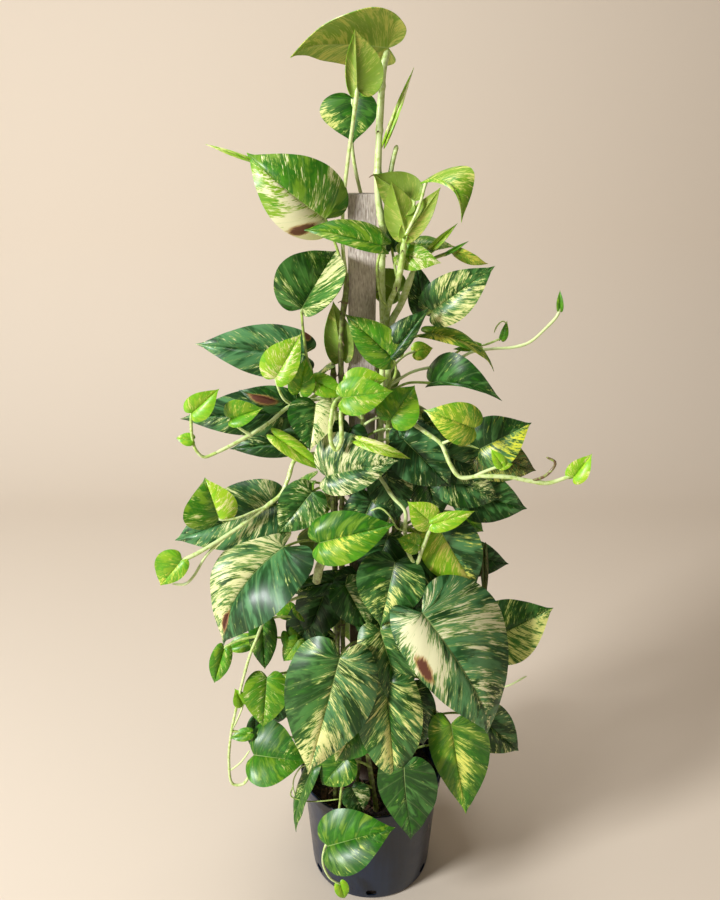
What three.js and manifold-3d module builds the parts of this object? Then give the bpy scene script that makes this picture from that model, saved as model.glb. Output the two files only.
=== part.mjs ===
// A golden pothos in a nursery pot, trained up a wooden stake. Millimetres, +Z up, -Y towards the viewer.
// The origin is the centre of the pot's foot.
import * as THREE from "three";
import { mergeVertices } from "three/addons/utils/BufferGeometryUtils.js";
import Module from "manifold-3d";

const wasm = await Module();
wasm.setup();

// Pot and soil
const POT = { height: 220, rim: 132, foot: 112, wall: 2.6, floor: 4, lip: 4, band: 20, sides: 36 };
const DRAIN = { count: 6, width: 20, height: 14, above: 11 };
const SOIL_TOP = 192;
const CHIPS = { count: 18, inner: 42, outer: 112, long: 21, broad: 12, thick: 9 };
const GAP = 0.3;

// Stake: a plank whose broad face looks at the viewer
const STAKE = { x: -18, width: 42, thick: 20, foot: 60, top: 1254 };

// Stems
const STEM = { radius: 4.4, sides: 5, rooted: 30, clear: 1.6, tie: 180 };
const STALK = { radius: 2.3, sides: 3, steps: 2, sunk: 3, end: 0.2, rise: 0.42 };
const SHOOT_END = 0.35;

// Blades
const BLADE = { thick: 1.3, wide: 0.76, fold: 9, arch: 0.05 };
const BLADE_SIZES = [
  { upTo: 55, stations: 5, ribs: 2 },
  { upTo: 105, stations: 6, ribs: 2 },
  { upTo: 160, stations: 7, ribs: 3 },
  { upTo: Infinity, stations: 8, ribs: 4 },
];

// Where the photograph was taken from: the eye, how far it looks down, and its lens in pixels
const EYE = new THREE.Vector3(-21, -1267, 1378);
const PITCH = THREE.MathUtils.degToRad(22.3);
const LENS = 855;
const FRAME = { width: 720, height: 900 };
const AHEAD = new THREE.Vector3(0, Math.cos(PITCH), -Math.sin(PITCH));
const UPWARD = new THREE.Vector3(0, Math.sin(PITCH), Math.cos(PITCH));
const RIGHTWARD = new THREE.Vector3(1, 0, 0);
const UP = new THREE.Vector3(0, 0, 1);

// The point seen at pixel (u, v) that stands `near` millimetres in front of the stake.
function seen(u, v, near) {
  const ray = AHEAD.clone()
    .addScaledVector(RIGHTWARD, (u - FRAME.width / 2) / LENS)
    .addScaledVector(UPWARD, (FRAME.height / 2 - v) / LENS);
  return ray.multiplyScalar((-near - EYE.y) / ray.y).add(EYE);
}

// A repeatable stream of numbers from 0 to 1
function dice(seed) {
  let state = seed >>> 0;
  return () => {
    state = (Math.imul(state, 1664525) + 1013904223) >>> 0;
    return state / 4294967296;
  };
}

// Solids

function solid(geometry) {
  const bare = geometry.index ? geometry.clone() : geometry;
  bare.deleteAttribute("normal");
  bare.deleteAttribute("uv");
  const merged = mergeVertices(bare, 1e-4);
  return new wasm.Manifold(
    new wasm.Mesh({
      numProp: 3,
      vertProperties: new Float32Array(merged.attributes.position.array),
      triVerts: new Uint32Array(merged.index.array),
    }),
  );
}

function geometryOf(shape) {
  const mesh = shape.getMesh();
  const geometry = new THREE.BufferGeometry();
  geometry.setAttribute("position", new THREE.BufferAttribute(mesh.vertProperties, 3));
  geometry.setIndex(new THREE.BufferAttribute(mesh.triVerts, 1));
  return geometry;
}

function joined(pieces) {
  return pieces.reduce((whole, piece) => whole.add(piece));
}

function disc(radius, sides) {
  const turn = (i) => (2 * Math.PI * i) / sides;
  const corner = (i) => new THREE.Vector2(radius * Math.cos(turn(i)), radius * Math.sin(turn(i)));
  return new THREE.Shape(Array.from({ length: sides }, (_, i) => corner(i)));
}

// A round bar with one ring at each given point, whose last ring is drawn in to `end` of its radius
function tube(points, radius, sides, end = 1) {
  const path = new THREE.CatmullRomCurve3(points, false, "centripetal");
  path.getUtoTmapping = (share) => share;
  const options = { steps: points.length - 1, extrudePath: path, curveSegments: 1 };
  const bar = new THREE.ExtrudeGeometry(disc(radius, sides), options);
  const corners = bar.attributes.position;
  const corner = new THREE.Vector3();
  for (let i = 0; i < corners.count; i++) {
    corner.fromBufferAttribute(corners, i);
    if (corner.distanceTo(points.at(-1)) > 1.01 * radius) continue;
    corner.lerp(points.at(-1), 1 - end);
    corners.setXYZ(i, corner.x, corner.y, corner.z);
  }
  return solid(bar);
}

// Leaf blade

// Half of the outline for a blade one long and two wide: from the notch round the lobe to the tip
const HALF_OUTLINE = new THREE.CatmullRomCurve3(
  [
    [0, 0],
    [0.28, -0.11],
    [0.62, -0.085],
    [0.91, 0.07],
    [1, 0.27],
    [0.89, 0.48],
    [0.57, 0.7],
    [0.24, 0.86],
    [0.07, 0.94],
    [0, 1],
  ].map(([x, y]) => new THREE.Vector3(x, y, 0)),
  false,
  "centripetal",
);
const LOBE_SHARE = 0.36; // the part of the outline whose veins all spring from the lowest rib point

// The blade's own frame: from the stalk to the tip, and the way its upper face looks.
function frameOf(joint, tip, turn, viewer = EYE) {
  const along = tip.clone().sub(joint);
  const length = along.length();
  along.normalize();
  const centre = joint.clone().lerp(tip, 0.5);
  const face = viewer.clone().sub(centre);
  face.addScaledVector(along, -face.dot(along)).normalize();
  face.applyAxisAngle(along, THREE.MathUtils.degToRad(turn));
  return { along, face, across: along.clone().cross(face), length };
}

const pair = (value) => (Array.isArray(value) ? value : [value, value]);

// A thin closed blade. x runs across from -1 to 1 and y along from the notch to the tip.
function blade(joint, frame, { wide = BLADE.wide, fold = BLADE.fold, arch = BLADE.arch, wave = 0 }) {
  const { along, face, across, length } = frame;
  const { stations, ribs } = BLADE_SIZES.find(({ upTo }) => length <= upTo);
  const wides = pair(wide);
  const folds = pair(fold).map((f) => Math.tan(THREE.MathUtils.degToRad(f)));
  const place = (x, y) => {
    const half = x > 0 ? 1 : 0;
    const side = (Math.abs(x) * wides[half] * length) / 2;
    const lift =
      side * folds[half] +
      4 * arch * length * y * (1 - y) +
      wave * length * x * x * Math.sin(9 * y + (x > 0 ? 0 : 2));
    return joint
      .clone()
      .addScaledVector(across, Math.sign(x) * side)
      .addScaledVector(along, y * length)
      .addScaledVector(face, lift);
  };

  const sheet = [];
  const rib = Array.from({ length: ribs + 1 }, (_, i) => sheet.push(place(0, i / ribs)) - 1);
  const faces = [];
  const margins = [-1, 1].map((side) => {
    const margin = [rib[0]];
    let last = 0;
    for (let i = 1; i <= stations; i++) {
      const share = i / stations;
      const edge = HALF_OUTLINE.getPointAt(share);
      const spring = Math.max(0, (share - LOBE_SHARE) / (1 - LOBE_SHARE));
      const next = i === stations ? ribs : Math.min(ribs - 1, Math.max(1, Math.round(spring * ribs)));
      margin.push(i === stations ? rib[ribs] : sheet.push(place(side * edge.x, edge.y)) - 1);
      const corners = [rib[last], margin[i - 1], margin[i], rib[next]];
      const ring = corners.filter((corner, k) => corner !== corners[(k + 1) % 4]);
      for (let k = 1; k + 1 < ring.length; k++) {
        const face = [ring[0], ring[k], ring[k + 1]];
        faces.push(side > 0 ? face : face.reverse());
      }
      last = next;
    }
    return margin;
  });

  const flat = new THREE.BufferGeometry().setFromPoints(sheet).setIndex(faces.flat());
  flat.computeVertexNormals();
  const normals = flat.attributes.normal;
  const normal = (i) => new THREE.Vector3().fromBufferAttribute(normals, i);
  const shifted = (amount) => sheet.map((p, i) => p.clone().addScaledVector(normal(i), amount));
  const count = sheet.length;
  const rim = [...margins[1], ...margins[0].slice(1, -1).reverse()];
  const sides = rim.flatMap((a, i) => {
    const b = rim[(i + 1) % rim.length];
    return [a, a + count, b, b, a + count, b + count];
  });
  const closed = new THREE.BufferGeometry().setFromPoints([
    ...shifted(BLADE.thick / 2),
    ...shifted(-BLADE.thick / 2),
  ]);
  const under = faces.flatMap(([a, b, c]) => [a + count, c + count, b + count]);
  closed.setIndex([...faces.flat(), ...under, ...sides]);
  return solid(closed);
}

// Plants

// The point of a stem at height z, or a point near its end if the stem is shorter
function pointAt(points, z) {
  const above = points.findIndex((p) => p.z >= z);
  if (above < 1) return points.at(-1).clone().lerp(points.at(-2), 0.1);
  const [low, high] = [points[above - 1], points[above]];
  return low.clone().lerp(high, (z - low.z) / (high.z - low.z));
}

// The stalk of a blade: by the pixels in `stalk`, or else rising outwards from the vine's own stem.
function stalkOf(joint, frame, stem, stalk, arch = BLADE.arch) {
  if (stalk === "none") return [];
  const springs = frame.along.clone().addScaledVector(frame.face, 4 * arch).normalize();
  const inside = joint.clone().addScaledVector(springs, STALK.sunk);
  if (stalk) return [tube([...stalk.map((p) => seen(...p)), inside], STALK.radius, STALK.sides, STALK.end)];
  const reach = Math.hypot(joint.x - stem.axis.x, joint.y - stem.axis.y);
  const root = pointAt(stem.points, joint.z - STALK.rise * reach);
  const span = root.distanceTo(joint);
  const middle = root
    .clone()
    .lerp(joint, 0.55)
    .addScaledVector(UP, 0.26 * span)
    .addScaledVector(frame.face, -0.1 * span);
  const path = new THREE.QuadraticBezierCurve3(root, middle, inside);
  return [tube(path.getPoints(STALK.steps), STALK.radius, STALK.sides, STALK.end)];
}

// A vine: its stem from the soil to its last route point, with its leaves and its side shoots.
function vine(name, { root, slot, top, route = [], radius = STEM.radius }, leaves, shoots = []) {
  const foot = new THREE.Vector3(root[0], -root[1], SOIL_TOP + 2);
  const heights = [SOIL_TOP + 150];
  while (heights.at(-1) + STEM.tie < top) heights.push(heights.at(-1) + STEM.tie);
  const sway = (z) => 1.5 * Math.sin(z / 37 + root[0]);
  const tied = [...heights, top].map((z) => new THREE.Vector3(slot[0] + sway(z), sway(z + 60) - slot[1], z));
  const points = [foot, ...tied, ...route.map((p) => seen(...p))];
  const stem = { points, axis: tied[0] };
  const rooted = new THREE.CylinderGeometry(radius, radius, STEM.rooted + 8, STEM.sides);
  rooted.rotateX(Math.PI / 2).translate(foot.x, foot.y, SOIL_TOP + 4 - STEM.rooted / 2);
  const pieces = [[name + " stem", tube(points, radius, STEM.sides).add(solid(rooted))]];
  for (const { name: leafName, joint, tip, near, out = 0, turn = 0, viewer, stalk, ...form } of leaves) {
    const from = near === undefined ? joint : seen(...joint, near);
    const to = near === undefined ? tip : seen(...tip, near + out);
    const frame = frameOf(from, to, turn, viewer);
    pieces.push([leafName, blade(from, frame, form)]);
    const stalks = stalkOf(from, frame, stem, stalk, form.arch);
    stalks.forEach((piece) => pieces.push([leafName + " stalk", piece]));
  }
  for (const { name: shootName, through, thick, end } of shoots) {
    const sides = thick > 5 ? STEM.sides : STEM.sides - 1;
    pieces.push([shootName, tube(through.map((p) => seen(...p)), thick / 2, sides, end)]);
  }
  return { name, root, radius, pieces };
}

const leaf = (name, form) => ({ name, ...form });
const shoot = (name, thick, through, end = SHOOT_END) => ({ name, thick, through, end });

// The leaves that the photograph doesn't show: four vines close the plant at the back and the sides, each
// within its own part of a turn, with leaves at even heights that lean out less the higher they stand.
const HIDDEN = { leaves: 8, from: 250, to: 930, reach: 124, taper: 0.5, spread: 34, long: 136, droop: 50 };

function hiddenVine(name, { root, slot, facing, seed, lift = 0, top = 960 }) {
  const roll = dice(seed);
  const leaves = Array.from({ length: HIDDEN.leaves }, (_, i) => {
    const share = i / (HIDDEN.leaves - 1);
    const z = HIDDEN.from + lift + (HIDDEN.to - HIDDEN.from) * share;
    const angle = THREE.MathUtils.degToRad(facing + HIDDEN.spread * ((i % 2) - 0.5) + 10 * (roll() - 0.5));
    const outward = new THREE.Vector3(Math.cos(angle), Math.sin(angle), 0);
    const reach = HIDDEN.reach * (1 - HIDDEN.taper * share ** 2) * (0.8 + 0.3 * roll());
    const droop = THREE.MathUtils.degToRad(HIDDEN.droop + 20 * (roll() - 0.5));
    const long = HIDDEN.long * (0.8 + 0.35 * roll()) * (1 - 0.25 * share);
    const joint = outward.clone().multiplyScalar(reach).add(new THREE.Vector3(STAKE.x / 2, 0, z));
    const tip = joint
      .clone()
      .addScaledVector(outward, long * Math.cos(droop))
      .addScaledVector(UP, -long * Math.sin(droop));
    const viewer = joint.clone().addScaledVector(outward, 1000).addScaledVector(UP, 700);
    return leaf("leaf_" + i, { joint, tip, viewer, wide: 0.7 + 0.12 * roll(), arch: 0.08 });
  });
  return vine(name, { root, slot, top }, leaves);
}

const hidden = [
  hiddenVine("vine_side_right", { root: [78, -34], slot: [36, -14], facing: 27, seed: 6 }),
  hiddenVine("vine_back_right", {
    root: [36, -66], slot: [10, -32], facing: 65, seed: 1, lift: 48, top: 1000,
  }),
  hiddenVine("vine_back_left", { root: [-34, -72], slot: [-34, -32], facing: 115, seed: 4, lift: 16 }),
  hiddenVine("vine_side_left", {
    root: [-78, -38], slot: [-62, -14], facing: 153, seed: 8, lift: 62, top: 1000,
  }),
];

// Each leaf is given by the pixels of its stalk's end and its tip, and `near`, how far the joint stands in
// front of the stake. `out` is how much nearer the tip comes, `wide` the width over the length, `turn` the
// degrees that the blade is rolled about its midrib, `fold` how far its halves rise, and `arch` how far the
// midrib bulges over its length.
const vines = [
  vine(
    "vine_crown",
    {
      root: [62, -8],
      slot: [13, 3],
      top: 1120,
      route: [
        [382, 262, 5], [383, 232, 16], [378, 195, 20], [379, 140, 18], [381, 100, 14], [384, 64, 12],
        [388, 50, 11],
      ],
      radius: 4.8,
    },
    [
      leaf("arching", {
        joint: [388, 48], tip: [289, 49], near: 11, out: 30, wide: [1.25, 1.1], turn: 120, fold: [2, 10],
        arch: 0.05, stalk: "none",
      }),
      leaf("heart", {
        joint: [353, 98], tip: [353, 143], near: -8, out: 3, wide: [1.2, 1.6], turn: 12, fold: 3,
        arch: 0.03,
        stalk: [[382, 270, 3], [381, 246, -16], [372, 228, -21], [362, 198, -20], [352, 146, -14]],
      }),
      leaf("spike", {
        joint: [386, 140], tip: [414, 67], near: 18, out: -8, wide: 0.09, fold: 50, stalk: "none",
      }),
    ],
    [
      shoot("stub", 7, [[383, 240, 12], [387, 200, 14], [392, 165, 10], [397, 145, 8]], 1),
    ],
  ),
  vine(
    "vine_upper_left",
    { root: [-78, 26], slot: [-50, 16], top: 1060, route: [[346, 290, 14], [346, 272, 14]] },
    [
      leaf("hood", {
        joint: [357, 90], tip: [355, 28], near: 48, out: 8, wide: [0.98, 0.4], turn: 180, fold: 12,
        stalk: [[346, 278, 14], [343, 250, 10], [343, 208, 12], [348, 160, 30], [354, 115, 44]],
      }),
      leaf("cream", {
        joint: [325, 219], tip: [246, 153], near: 27, out: 2, wide: [0.68, 0.86], turn: -9, fold: [3, -12],
        arch: 0.15, stalk: [[347, 290, 14], [341, 262, 16], [334, 240, 18]],
      }),
      leaf("cream_tail", {
        joint: [251, 160], tip: [205, 144], near: 29, wide: 0.1, fold: 40, stalk: "none",
      }),
      leaf("round", {
        joint: [302, 309], tip: [337, 249], near: 34, out: -42, wide: [1.1, 0.75], turn: -4, fold: [20, 70],
        arch: 0.14, stalk: [[313, 384, 32], [306, 352, 34]],
      }),
      leaf("olive", {
        joint: [341, 357], tip: [333, 300], near: 17, wide: 0.5, turn: 180, fold: 2, arch: 0,
        stalk: [[341, 395, 16], [342, 375, 17]],
      }),
      leaf("far_left", {
        joint: [303, 354], tip: [195, 344], near: 10, out: 20, wide: 0.5,
        stalk: [[313, 384, 32], [311, 368, 18]],
      }),
      leaf("pale", {
        joint: [276, 378], tip: [301, 334], near: 62, out: -10, wide: [0.9, 0.6], fold: [5, 20],
        stalk: [[292, 405, 46], [283, 398, 54]],
      }),
      leaf("small_olive", {
        joint: [300, 392], tip: [306, 358], near: 40, out: 0, wide: 0.75, fold: 16, stalk: [[305, 402, 42]],
      }),
      leaf("lime_blade", {
        joint: [314, 381], tip: [346, 396], near: 35, out: 0, wide: 0.65, stalk: "none",
      }),
      leaf("dark_wide", {
        joint: [286, 409], tip: [179, 419], near: 14, out: 20, wide: 0.44,
        stalk: [[320, 393, 30], [302, 404, 20]],
      }),
      leaf("lower_dark", { joint: [300, 440], tip: [229, 449], near: 0, out: 10, wide: 0.42 }),
      leaf("patched", {
        joint: [296, 406], tip: [238, 390], near: 24, out: 6, wide: 0.5, stalk: [[320, 392, 30]],
      }),
      leaf("runner_end", {
        joint: [192, 413], tip: [219, 389], near: 98, wide: 0.72, fold: 18, stalk: "none",
      }),
      leaf("runner_cup", {
        joint: [231, 419], tip: [263, 408], near: 84, wide: [1, 0.6], fold: 30,
        stalk: [[250, 435, 73], [238, 427, 80]],
      }),
      leaf("runner_torn", { joint: [193, 440], tip: [176, 438], near: 98, wide: 0.8, stalk: "none" }),
    ],
    [
      shoot("spur", 7, [[340, 430, 16], [334, 408, 24], [320, 392, 30], [312, 382, 34]], 1),
      shoot("runner", 5.8, [
        [332, 404, 25], [322, 399, 34], [305, 402, 42], [290, 406, 47], [270, 422, 60], [250, 435, 72],
        [230, 446, 84], [212, 455, 92],
      ]),
      shoot("runner_turn", 4.6, [
        [216, 453, 91], [204, 457, 95], [196, 450, 98], [192, 436, 98], [191, 412, 98],
      ]),
    ],
  ),
  vine(
    "vine_upper_right",
    {
      root: [66, 30],
      slot: [22, 30],
      top: 1010,
      route: [[386, 322, 30], [389, 305, 32], [397, 285, 36], [402, 260, 40], [405, 236, 42]],
    },
    [
      leaf("across", {
        joint: [381, 246], tip: [303, 229], near: 48, out: -6, wide: [0.3, 0.5], turn: 30,
        stalk: [[389, 308, 32], [382, 300, 38], [377, 268, 46]],
      }),
      leaf("sail", {
        joint: [414, 201], tip: [373, 174], near: 38, out: -6, wide: 0.85, turn: 180,
        stalk: [[405, 238, 42], [411, 218, 30]],
      }),
      leaf("cupped", {
        joint: [406, 234], tip: [391, 180], near: 44, out: 4, wide: 0.62, turn: 180, fold: 20,
        stalk: "none",
      }),
      leaf("drooping", {
        joint: [427, 181], tip: [463, 220], near: 36, out: 37, wide: [1.15, 0.12], turn: -54, fold: [20, 7],
        arch: 0.29, stalk: [[405, 237, 42], [419, 207, 46]],
      }),
      leaf("pale_green", {
        joint: [399, 254], tip: [441, 263], near: 22, out: 26, wide: 0.62, stalk: [[400, 272, 34]],
      }),
      leaf("streaked_back", {
        joint: [408, 249], tip: [456, 246], near: 2, wide: 0.7, turn: -60, stalk: [[414, 272, 20]],
      }),
      leaf("rolled", {
        joint: [428, 252], tip: [458, 223], near: 16, wide: 0.2, fold: 45, stalk: [[414, 268, 22]],
      }),
      leaf("bud", {
        joint: [446, 254], tip: [469, 241], near: 8, wide: 0.16, fold: 45,
        stalk: [[414, 268, 22], [430, 260, 12]],
      }),
      leaf("small_tan", {
        joint: [456, 251], tip: [488, 265], near: 4, wide: 0.4, turn: 30,
        stalk: [[414, 269, 22], [436, 257, 8]],
      }),
      leaf("backlit", {
        joint: [398, 292], tip: [366, 272], near: -18, wide: 0.95, turn: 180,
        stalk: [[391, 322, 28], [399, 305, 0]],
      }),
      leaf("between", {
        joint: [392, 248], tip: [394, 211], near: -20, wide: 0.5, stalk: [[398, 283, 36], [394, 262, -6]],
      }),
      leaf("big_streaked", {
        joint: [432, 311], tip: [495, 266], near: 30, out: 20, wide: 0.62, fold: 12,
        stalk: [[388, 330, 30], [410, 322, 30]],
      }),
      leaf("blue_dark", {
        joint: [424, 312], tip: [416, 262], near: 8, wide: 0.55, stalk: [[388, 332, 29], [408, 326, 14]],
      }),
      leaf("twisted", {
        joint: [430, 334], tip: [497, 368], near: 18, out: -10, wide: 0.28, turn: -50, fold: 20, arch: 0.11,
      }),
      leaf("tan_round", { joint: [414, 352], tip: [433, 348], near: -10, wide: 1 }),
      leaf("hooked", {
        joint: [431, 383], tip: [502, 400], near: 8, out: 50, wide: [0.66, 0.1], turn: -18, fold: [35, 0],
        arch: 0.27, stalk: [[389, 392, 30], [408, 383, 18]],
      }),
      leaf("thin_runner_bud", {
        joint: [560, 310], tip: [560, 290], near: -8, wide: 0.35, fold: 30, stalk: "none",
      }),
      leaf("hook_leaf", {
        joint: [501, 339], tip: [507, 321], near: -14, wide: [0.25, 0.6], stalk: "none",
      }),
      leaf("twig_leaf_a", { joint: [480, 346], tip: [453, 339], near: -14, wide: 0.22, stalk: "none" }),
      leaf("twig_leaf_b", { joint: [474, 348], tip: [453, 349], near: -14, wide: 0.3, stalk: "none" }),
      leaf("cupped_wing", {
        joint: [407, 235], tip: [441, 187], near: 46, wide: 0.4, turn: 180, stalk: "none",
      }),
    ],
    [
      shoot("second_stem", 10.5, [
        [386, 336, 30], [392, 320, 28], [401, 304, 26], [408, 285, 24], [415, 266, 20],
      ]),
      shoot("thin_runner", 4.6, [
        [389, 386, 30], [412, 372, 6], [436, 366, -8], [458, 359, -9], [472, 352, -8], [490, 349, -8],
        [515, 347, -8], [530, 342, -8], [545, 329, -8], [557, 316, -8], [561, 306, -8],
      ]),
      shoot("twig", 3.4, [
        [446, 364, -9], [456, 353, -14], [466, 348, -14], [484, 345, -14], [502, 338, -14],
      ]),
      shoot("hook", 2.2, [[507, 324, -14], [503, 321, -14], [497, 326, -14], [494, 333, -14]]),
    ],
  ),
  vine(
    "vine_centre",
    { root: [-30, 72], slot: [-18, 38], top: 930 },
    [
      leaf("wing_left", {
        joint: [392, 357], tip: [345, 314], near: 58, out: -4, wide: 0.62, fold: 8,
        stalk: [[362, 416, 38], [385, 390, 50], [396, 372, 56]],
      }),
      leaf("wing_right", {
        joint: [390, 355], tip: [429, 308], near: 56, out: 4, wide: [0.6, 0.3], stalk: "none",
      }),
      leaf("glossy", { joint: [343, 398], tip: [393, 391], near: 88, out: 10, wide: 0.76, arch: 0.06 }),
      leaf("glossy_behind", { joint: [350, 390], tip: [388, 378], near: 68, wide: [1, 0.4] }),
      leaf("yellow_patch", {
        joint: [391, 420], tip: [415, 385], near: 76, out: -20, wide: 1.05, fold: 12,
      }),
      leaf("hanging_cream", { joint: [316, 404], tip: [310, 451], near: 52, out: 40, wide: [0.85, 1.12] }),
      leaf("narrow_lime", {
        joint: [275, 436], tip: [326, 472], near: 60, wide: 0.3, fold: 20,
        stalk: [[361, 458, 38], [330, 460, 48], [300, 456, 54], [282, 448, 57]],
      }),
      leaf("arched_young", {
        joint: [359, 441], tip: [411, 459], near: 92, wide: 0.22, fold: 30, arch: 0.22,
      }),
      leaf("marbled", { joint: [326, 476], tip: [398, 461], near: 80, out: 20, wide: [1.08, 0.6] }),
      leaf("small_blue", { joint: [398, 430], tip: [403, 454], near: 58, wide: 0.8 }),
      leaf("big_blue", { joint: [404, 440], tip: [452, 488], near: 62, out: 15, wide: 0.85 }),
      leaf("lime_cup", { joint: [431, 522], tip: [408, 502], near: 100, wide: 0.95, stalk: "none" }),
      leaf("lime_flat", {
        joint: [433, 524], tip: [475, 511], near: 104, wide: [0.36, 0.5], stalk: "none",
      }),
      leaf("olive_nub", {
        joint: [418, 545], tip: [397, 539], near: 100, out: 6, wide: 0.95, stalk: [[409, 556, 94]],
      }),
      leaf("bright", { joint: [319, 543], tip: [395, 524], near: 128, out: 4, wide: 0.68, arch: 0.05 }),
      leaf("yellow_streaked", { joint: [395, 562], tip: [380, 628], near: 92, out: 30, wide: 1 }),
      leaf("behind_streaked", { joint: [420, 556], tip: [416, 612], near: 60, out: 10, wide: 0.6 }),
      leaf("deep_a", { joint: [350, 428], tip: [334, 478], near: 48, out: 6, wide: 0.8 }),
      leaf("deep_b", { joint: [386, 470], tip: [398, 522], near: 48, out: 6, wide: 0.8 }),
      leaf("deep_c", { joint: [372, 500], tip: [350, 548], near: 52, out: 6, wide: 0.8 }),
      leaf("deep_d", { joint: [388, 536], tip: [368, 590], near: 52, out: 6, wide: 0.8 }),
    ],
    [
      shoot("branch", 6, [
        [352, 455, 38], [372, 466, 52], [383, 482, 64], [393, 497, 76], [405, 511, 86], [405, 530, 92],
        [408, 552, 94], [416, 564, 95], [422, 550, 98], [432, 524, 104],
      ]),
      shoot("curl", 3, [[405, 531, 92], [397, 528, 88], [390, 516, 82], [380, 508, 78], [370, 511, 74]]),
      shoot("sheath", 6.4, [
        [361, 396, 38], [336, 401, 78], [331, 420, 92], [331, 442, 98], [336, 450, 98], [341, 442, 98],
        [342, 408, 84], [361, 400, 38],
      ], 1),
      shoot("stump", 14, [[362, 546, 38], [338, 553, 60], [322, 562, 78], [316, 584, 84]], 1),
    ],
  ),
  vine(
    "vine_mid_right",
    { root: [86, 4], slot: [42, 12], top: 945 },
    [
      leaf("lime_striped", {
        joint: [474, 428], tip: [424, 410], near: 92, out: 5, wide: 0.78, arch: 0.12,
        stalk: [[441, 444, 79], [457, 437, 86]],
      }),
      leaf("centre_dark", {
        joint: [424, 420], tip: [457, 441], near: 44, wide: 0.6, stalk: [[402, 428, 12], [413, 419, 30]],
      }),
      leaf("tan_striped", { joint: [480, 449], tip: [531, 423], near: 50, out: 10, wide: 0.95 }),
      leaf("orange_brown", { joint: [480, 453], tip: [537, 471], near: 34, out: 10, wide: 0.78 }),
      leaf("plain_dark", { joint: [462, 492], tip: [528, 509], near: 26, out: 10, wide: 0.75 }),
      leaf("olive_low", { joint: [456, 512], tip: [484, 532], near: 20, wide: 0.7 }),
      leaf("dark_tip", { joint: [460, 556], tip: [509, 564], near: 20, out: 10, wide: 0.75 }),
      leaf("half_lime", { joint: [440, 530], tip: [476, 590], near: 66, out: 10, wide: [0.8, 0.8] }),
      leaf("dry_strip", { joint: [484, 550], tip: [485, 602], near: 44, wide: 0.13, fold: 30 }),
      leaf("right_runner_end", {
        joint: [573, 478], tip: [592, 454], near: 112, wide: 0.72, fold: 24, stalk: "none",
      }),
      leaf("right_runner_leaf", {
        joint: [503, 466], tip: [491, 449], near: 107, wide: 0.6, stalk: "none",
      }),
      leaf("right_runner_scale", {
        joint: [500, 467], tip: [513, 464], near: 107, wide: 0.6, stalk: "none",
      }),
      leaf("deep_f", { joint: [440, 452], tip: [492, 478], near: 32, out: 6, wide: 0.8 }),
      leaf("deep_g", { joint: [444, 476], tip: [500, 500], near: 40, out: 6, wide: 0.8 }),
      leaf("deep_h", { joint: [424, 470], tip: [440, 520], near: 34, out: 6, wide: 0.8 }),
      leaf("deep_i", { joint: [436, 560], tip: [452, 620], near: 36, out: 6, wide: 0.8 }),
    ],
    [
      shoot("right_runner", 6.4, [
        [402, 414, 12], [405, 418, 56], [415, 425, 68], [428, 434, 74], [441, 444, 80], [450, 464, 92],
        [460, 477, 98], [480, 476, 104], [508, 477, 110], [530, 481, 112], [548, 483, 112], [565, 478, 112],
        [574, 475, 112],
      ]),
      shoot("right_runner_fork", 4.4, [[472, 477, 102], [486, 471, 105], [502, 465, 107]]),
      shoot("right_runner_root", 4.4, [
        [532, 481, 112], [545, 476, 112], [554, 467, 112], [555, 462, 112], [546, 457, 112],
      ]),
    ],
  ),
  vine(
    "vine_mid_left",
    { root: [-88, 2], slot: [-64, 20], top: 890 },
    [
      leaf("big_striped", { joint: [275, 505], tip: [173, 541], near: 56, out: 30, wide: 0.62 }),
      leaf("lime_side", {
        joint: [219, 519], tip: [205, 478], near: 112, out: -12, wide: [1.5, 1],
        stalk: [[268, 506, 82], [255, 511, 92], [237, 518, 106]],
      }),
      leaf("small_round", { joint: [312, 492], tip: [278, 534], near: 70, out: 16, wide: 0.85 }),
      leaf("olive_back", { joint: [300, 500], tip: [314, 482], near: 30, wide: 0.9 }),
      leaf("left_runner_end", {
        joint: [182, 560], tip: [160, 586], near: 128, wide: [0.6, 1.1], stalk: "none",
      }),
      leaf("large_hanging", {
        joint: [284, 547], tip: [222, 645], near: 96, out: 40, wide: [0.83, 0.54], turn: 44, fold: [-9, 33],
        arch: 0.16,
      }),
    ],
    [
      shoot("left_runner", 6.4, [
        [331, 458, 20], [310, 454, 42], [295, 460, 54], [288, 479, 64], [281, 494, 73], [268, 505, 82],
        [250, 519, 94], [235, 530, 102], [205, 549, 118], [190, 557, 124], [178, 562, 128],
      ]),
      shoot("left_runner_fork", 4.2, [
        [223, 538, 108], [206, 556, 116], [193, 577, 120], [185, 584, 120], [172, 584, 120],
      ]),
    ],
  ),
  vine(
    "vine_low_left",
    { root: [-66, 56], slot: [-58, 42], top: 640 },
    [
      leaf("hanging_dark", { joint: [262, 620], tip: [265, 671], near: 70, out: 10, wide: 0.5 }),
      leaf("curled", {
        joint: [224, 648], tip: [214, 684], near: 96, out: 6, wide: 0.5, fold: 24,
        stalk: [[258, 636, 90], [240, 640, 94]],
      }),
      leaf("olive_left", { joint: [252, 640], tip: [225, 650], near: 66, wide: 0.6 }),
      leaf("mid_hang", { joint: [267, 677], tip: [263, 728], near: 80, out: 20, wide: 0.82 }),
      leaf("tiny_lime", { joint: [243, 704], tip: [235, 689], near: 92, wide: 0.85, stalk: "none" }),
      leaf("low_hang", { joint: [254, 755], tip: [306, 762], near: 104, out: 20, wide: [1.3, 1.05] }),
      leaf("lime_streak", { joint: [256, 742], tip: [281, 727], near: 84, wide: 0.7 }),
      leaf("small_dark", { joint: [256, 720], tip: [251, 748], near: 62, wide: 0.45 }),
      leaf("olive_small", {
        joint: [251, 733], tip: [230, 738], near: 90, wide: 0.6, stalk: [[232, 731, 86]],
      }),
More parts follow.
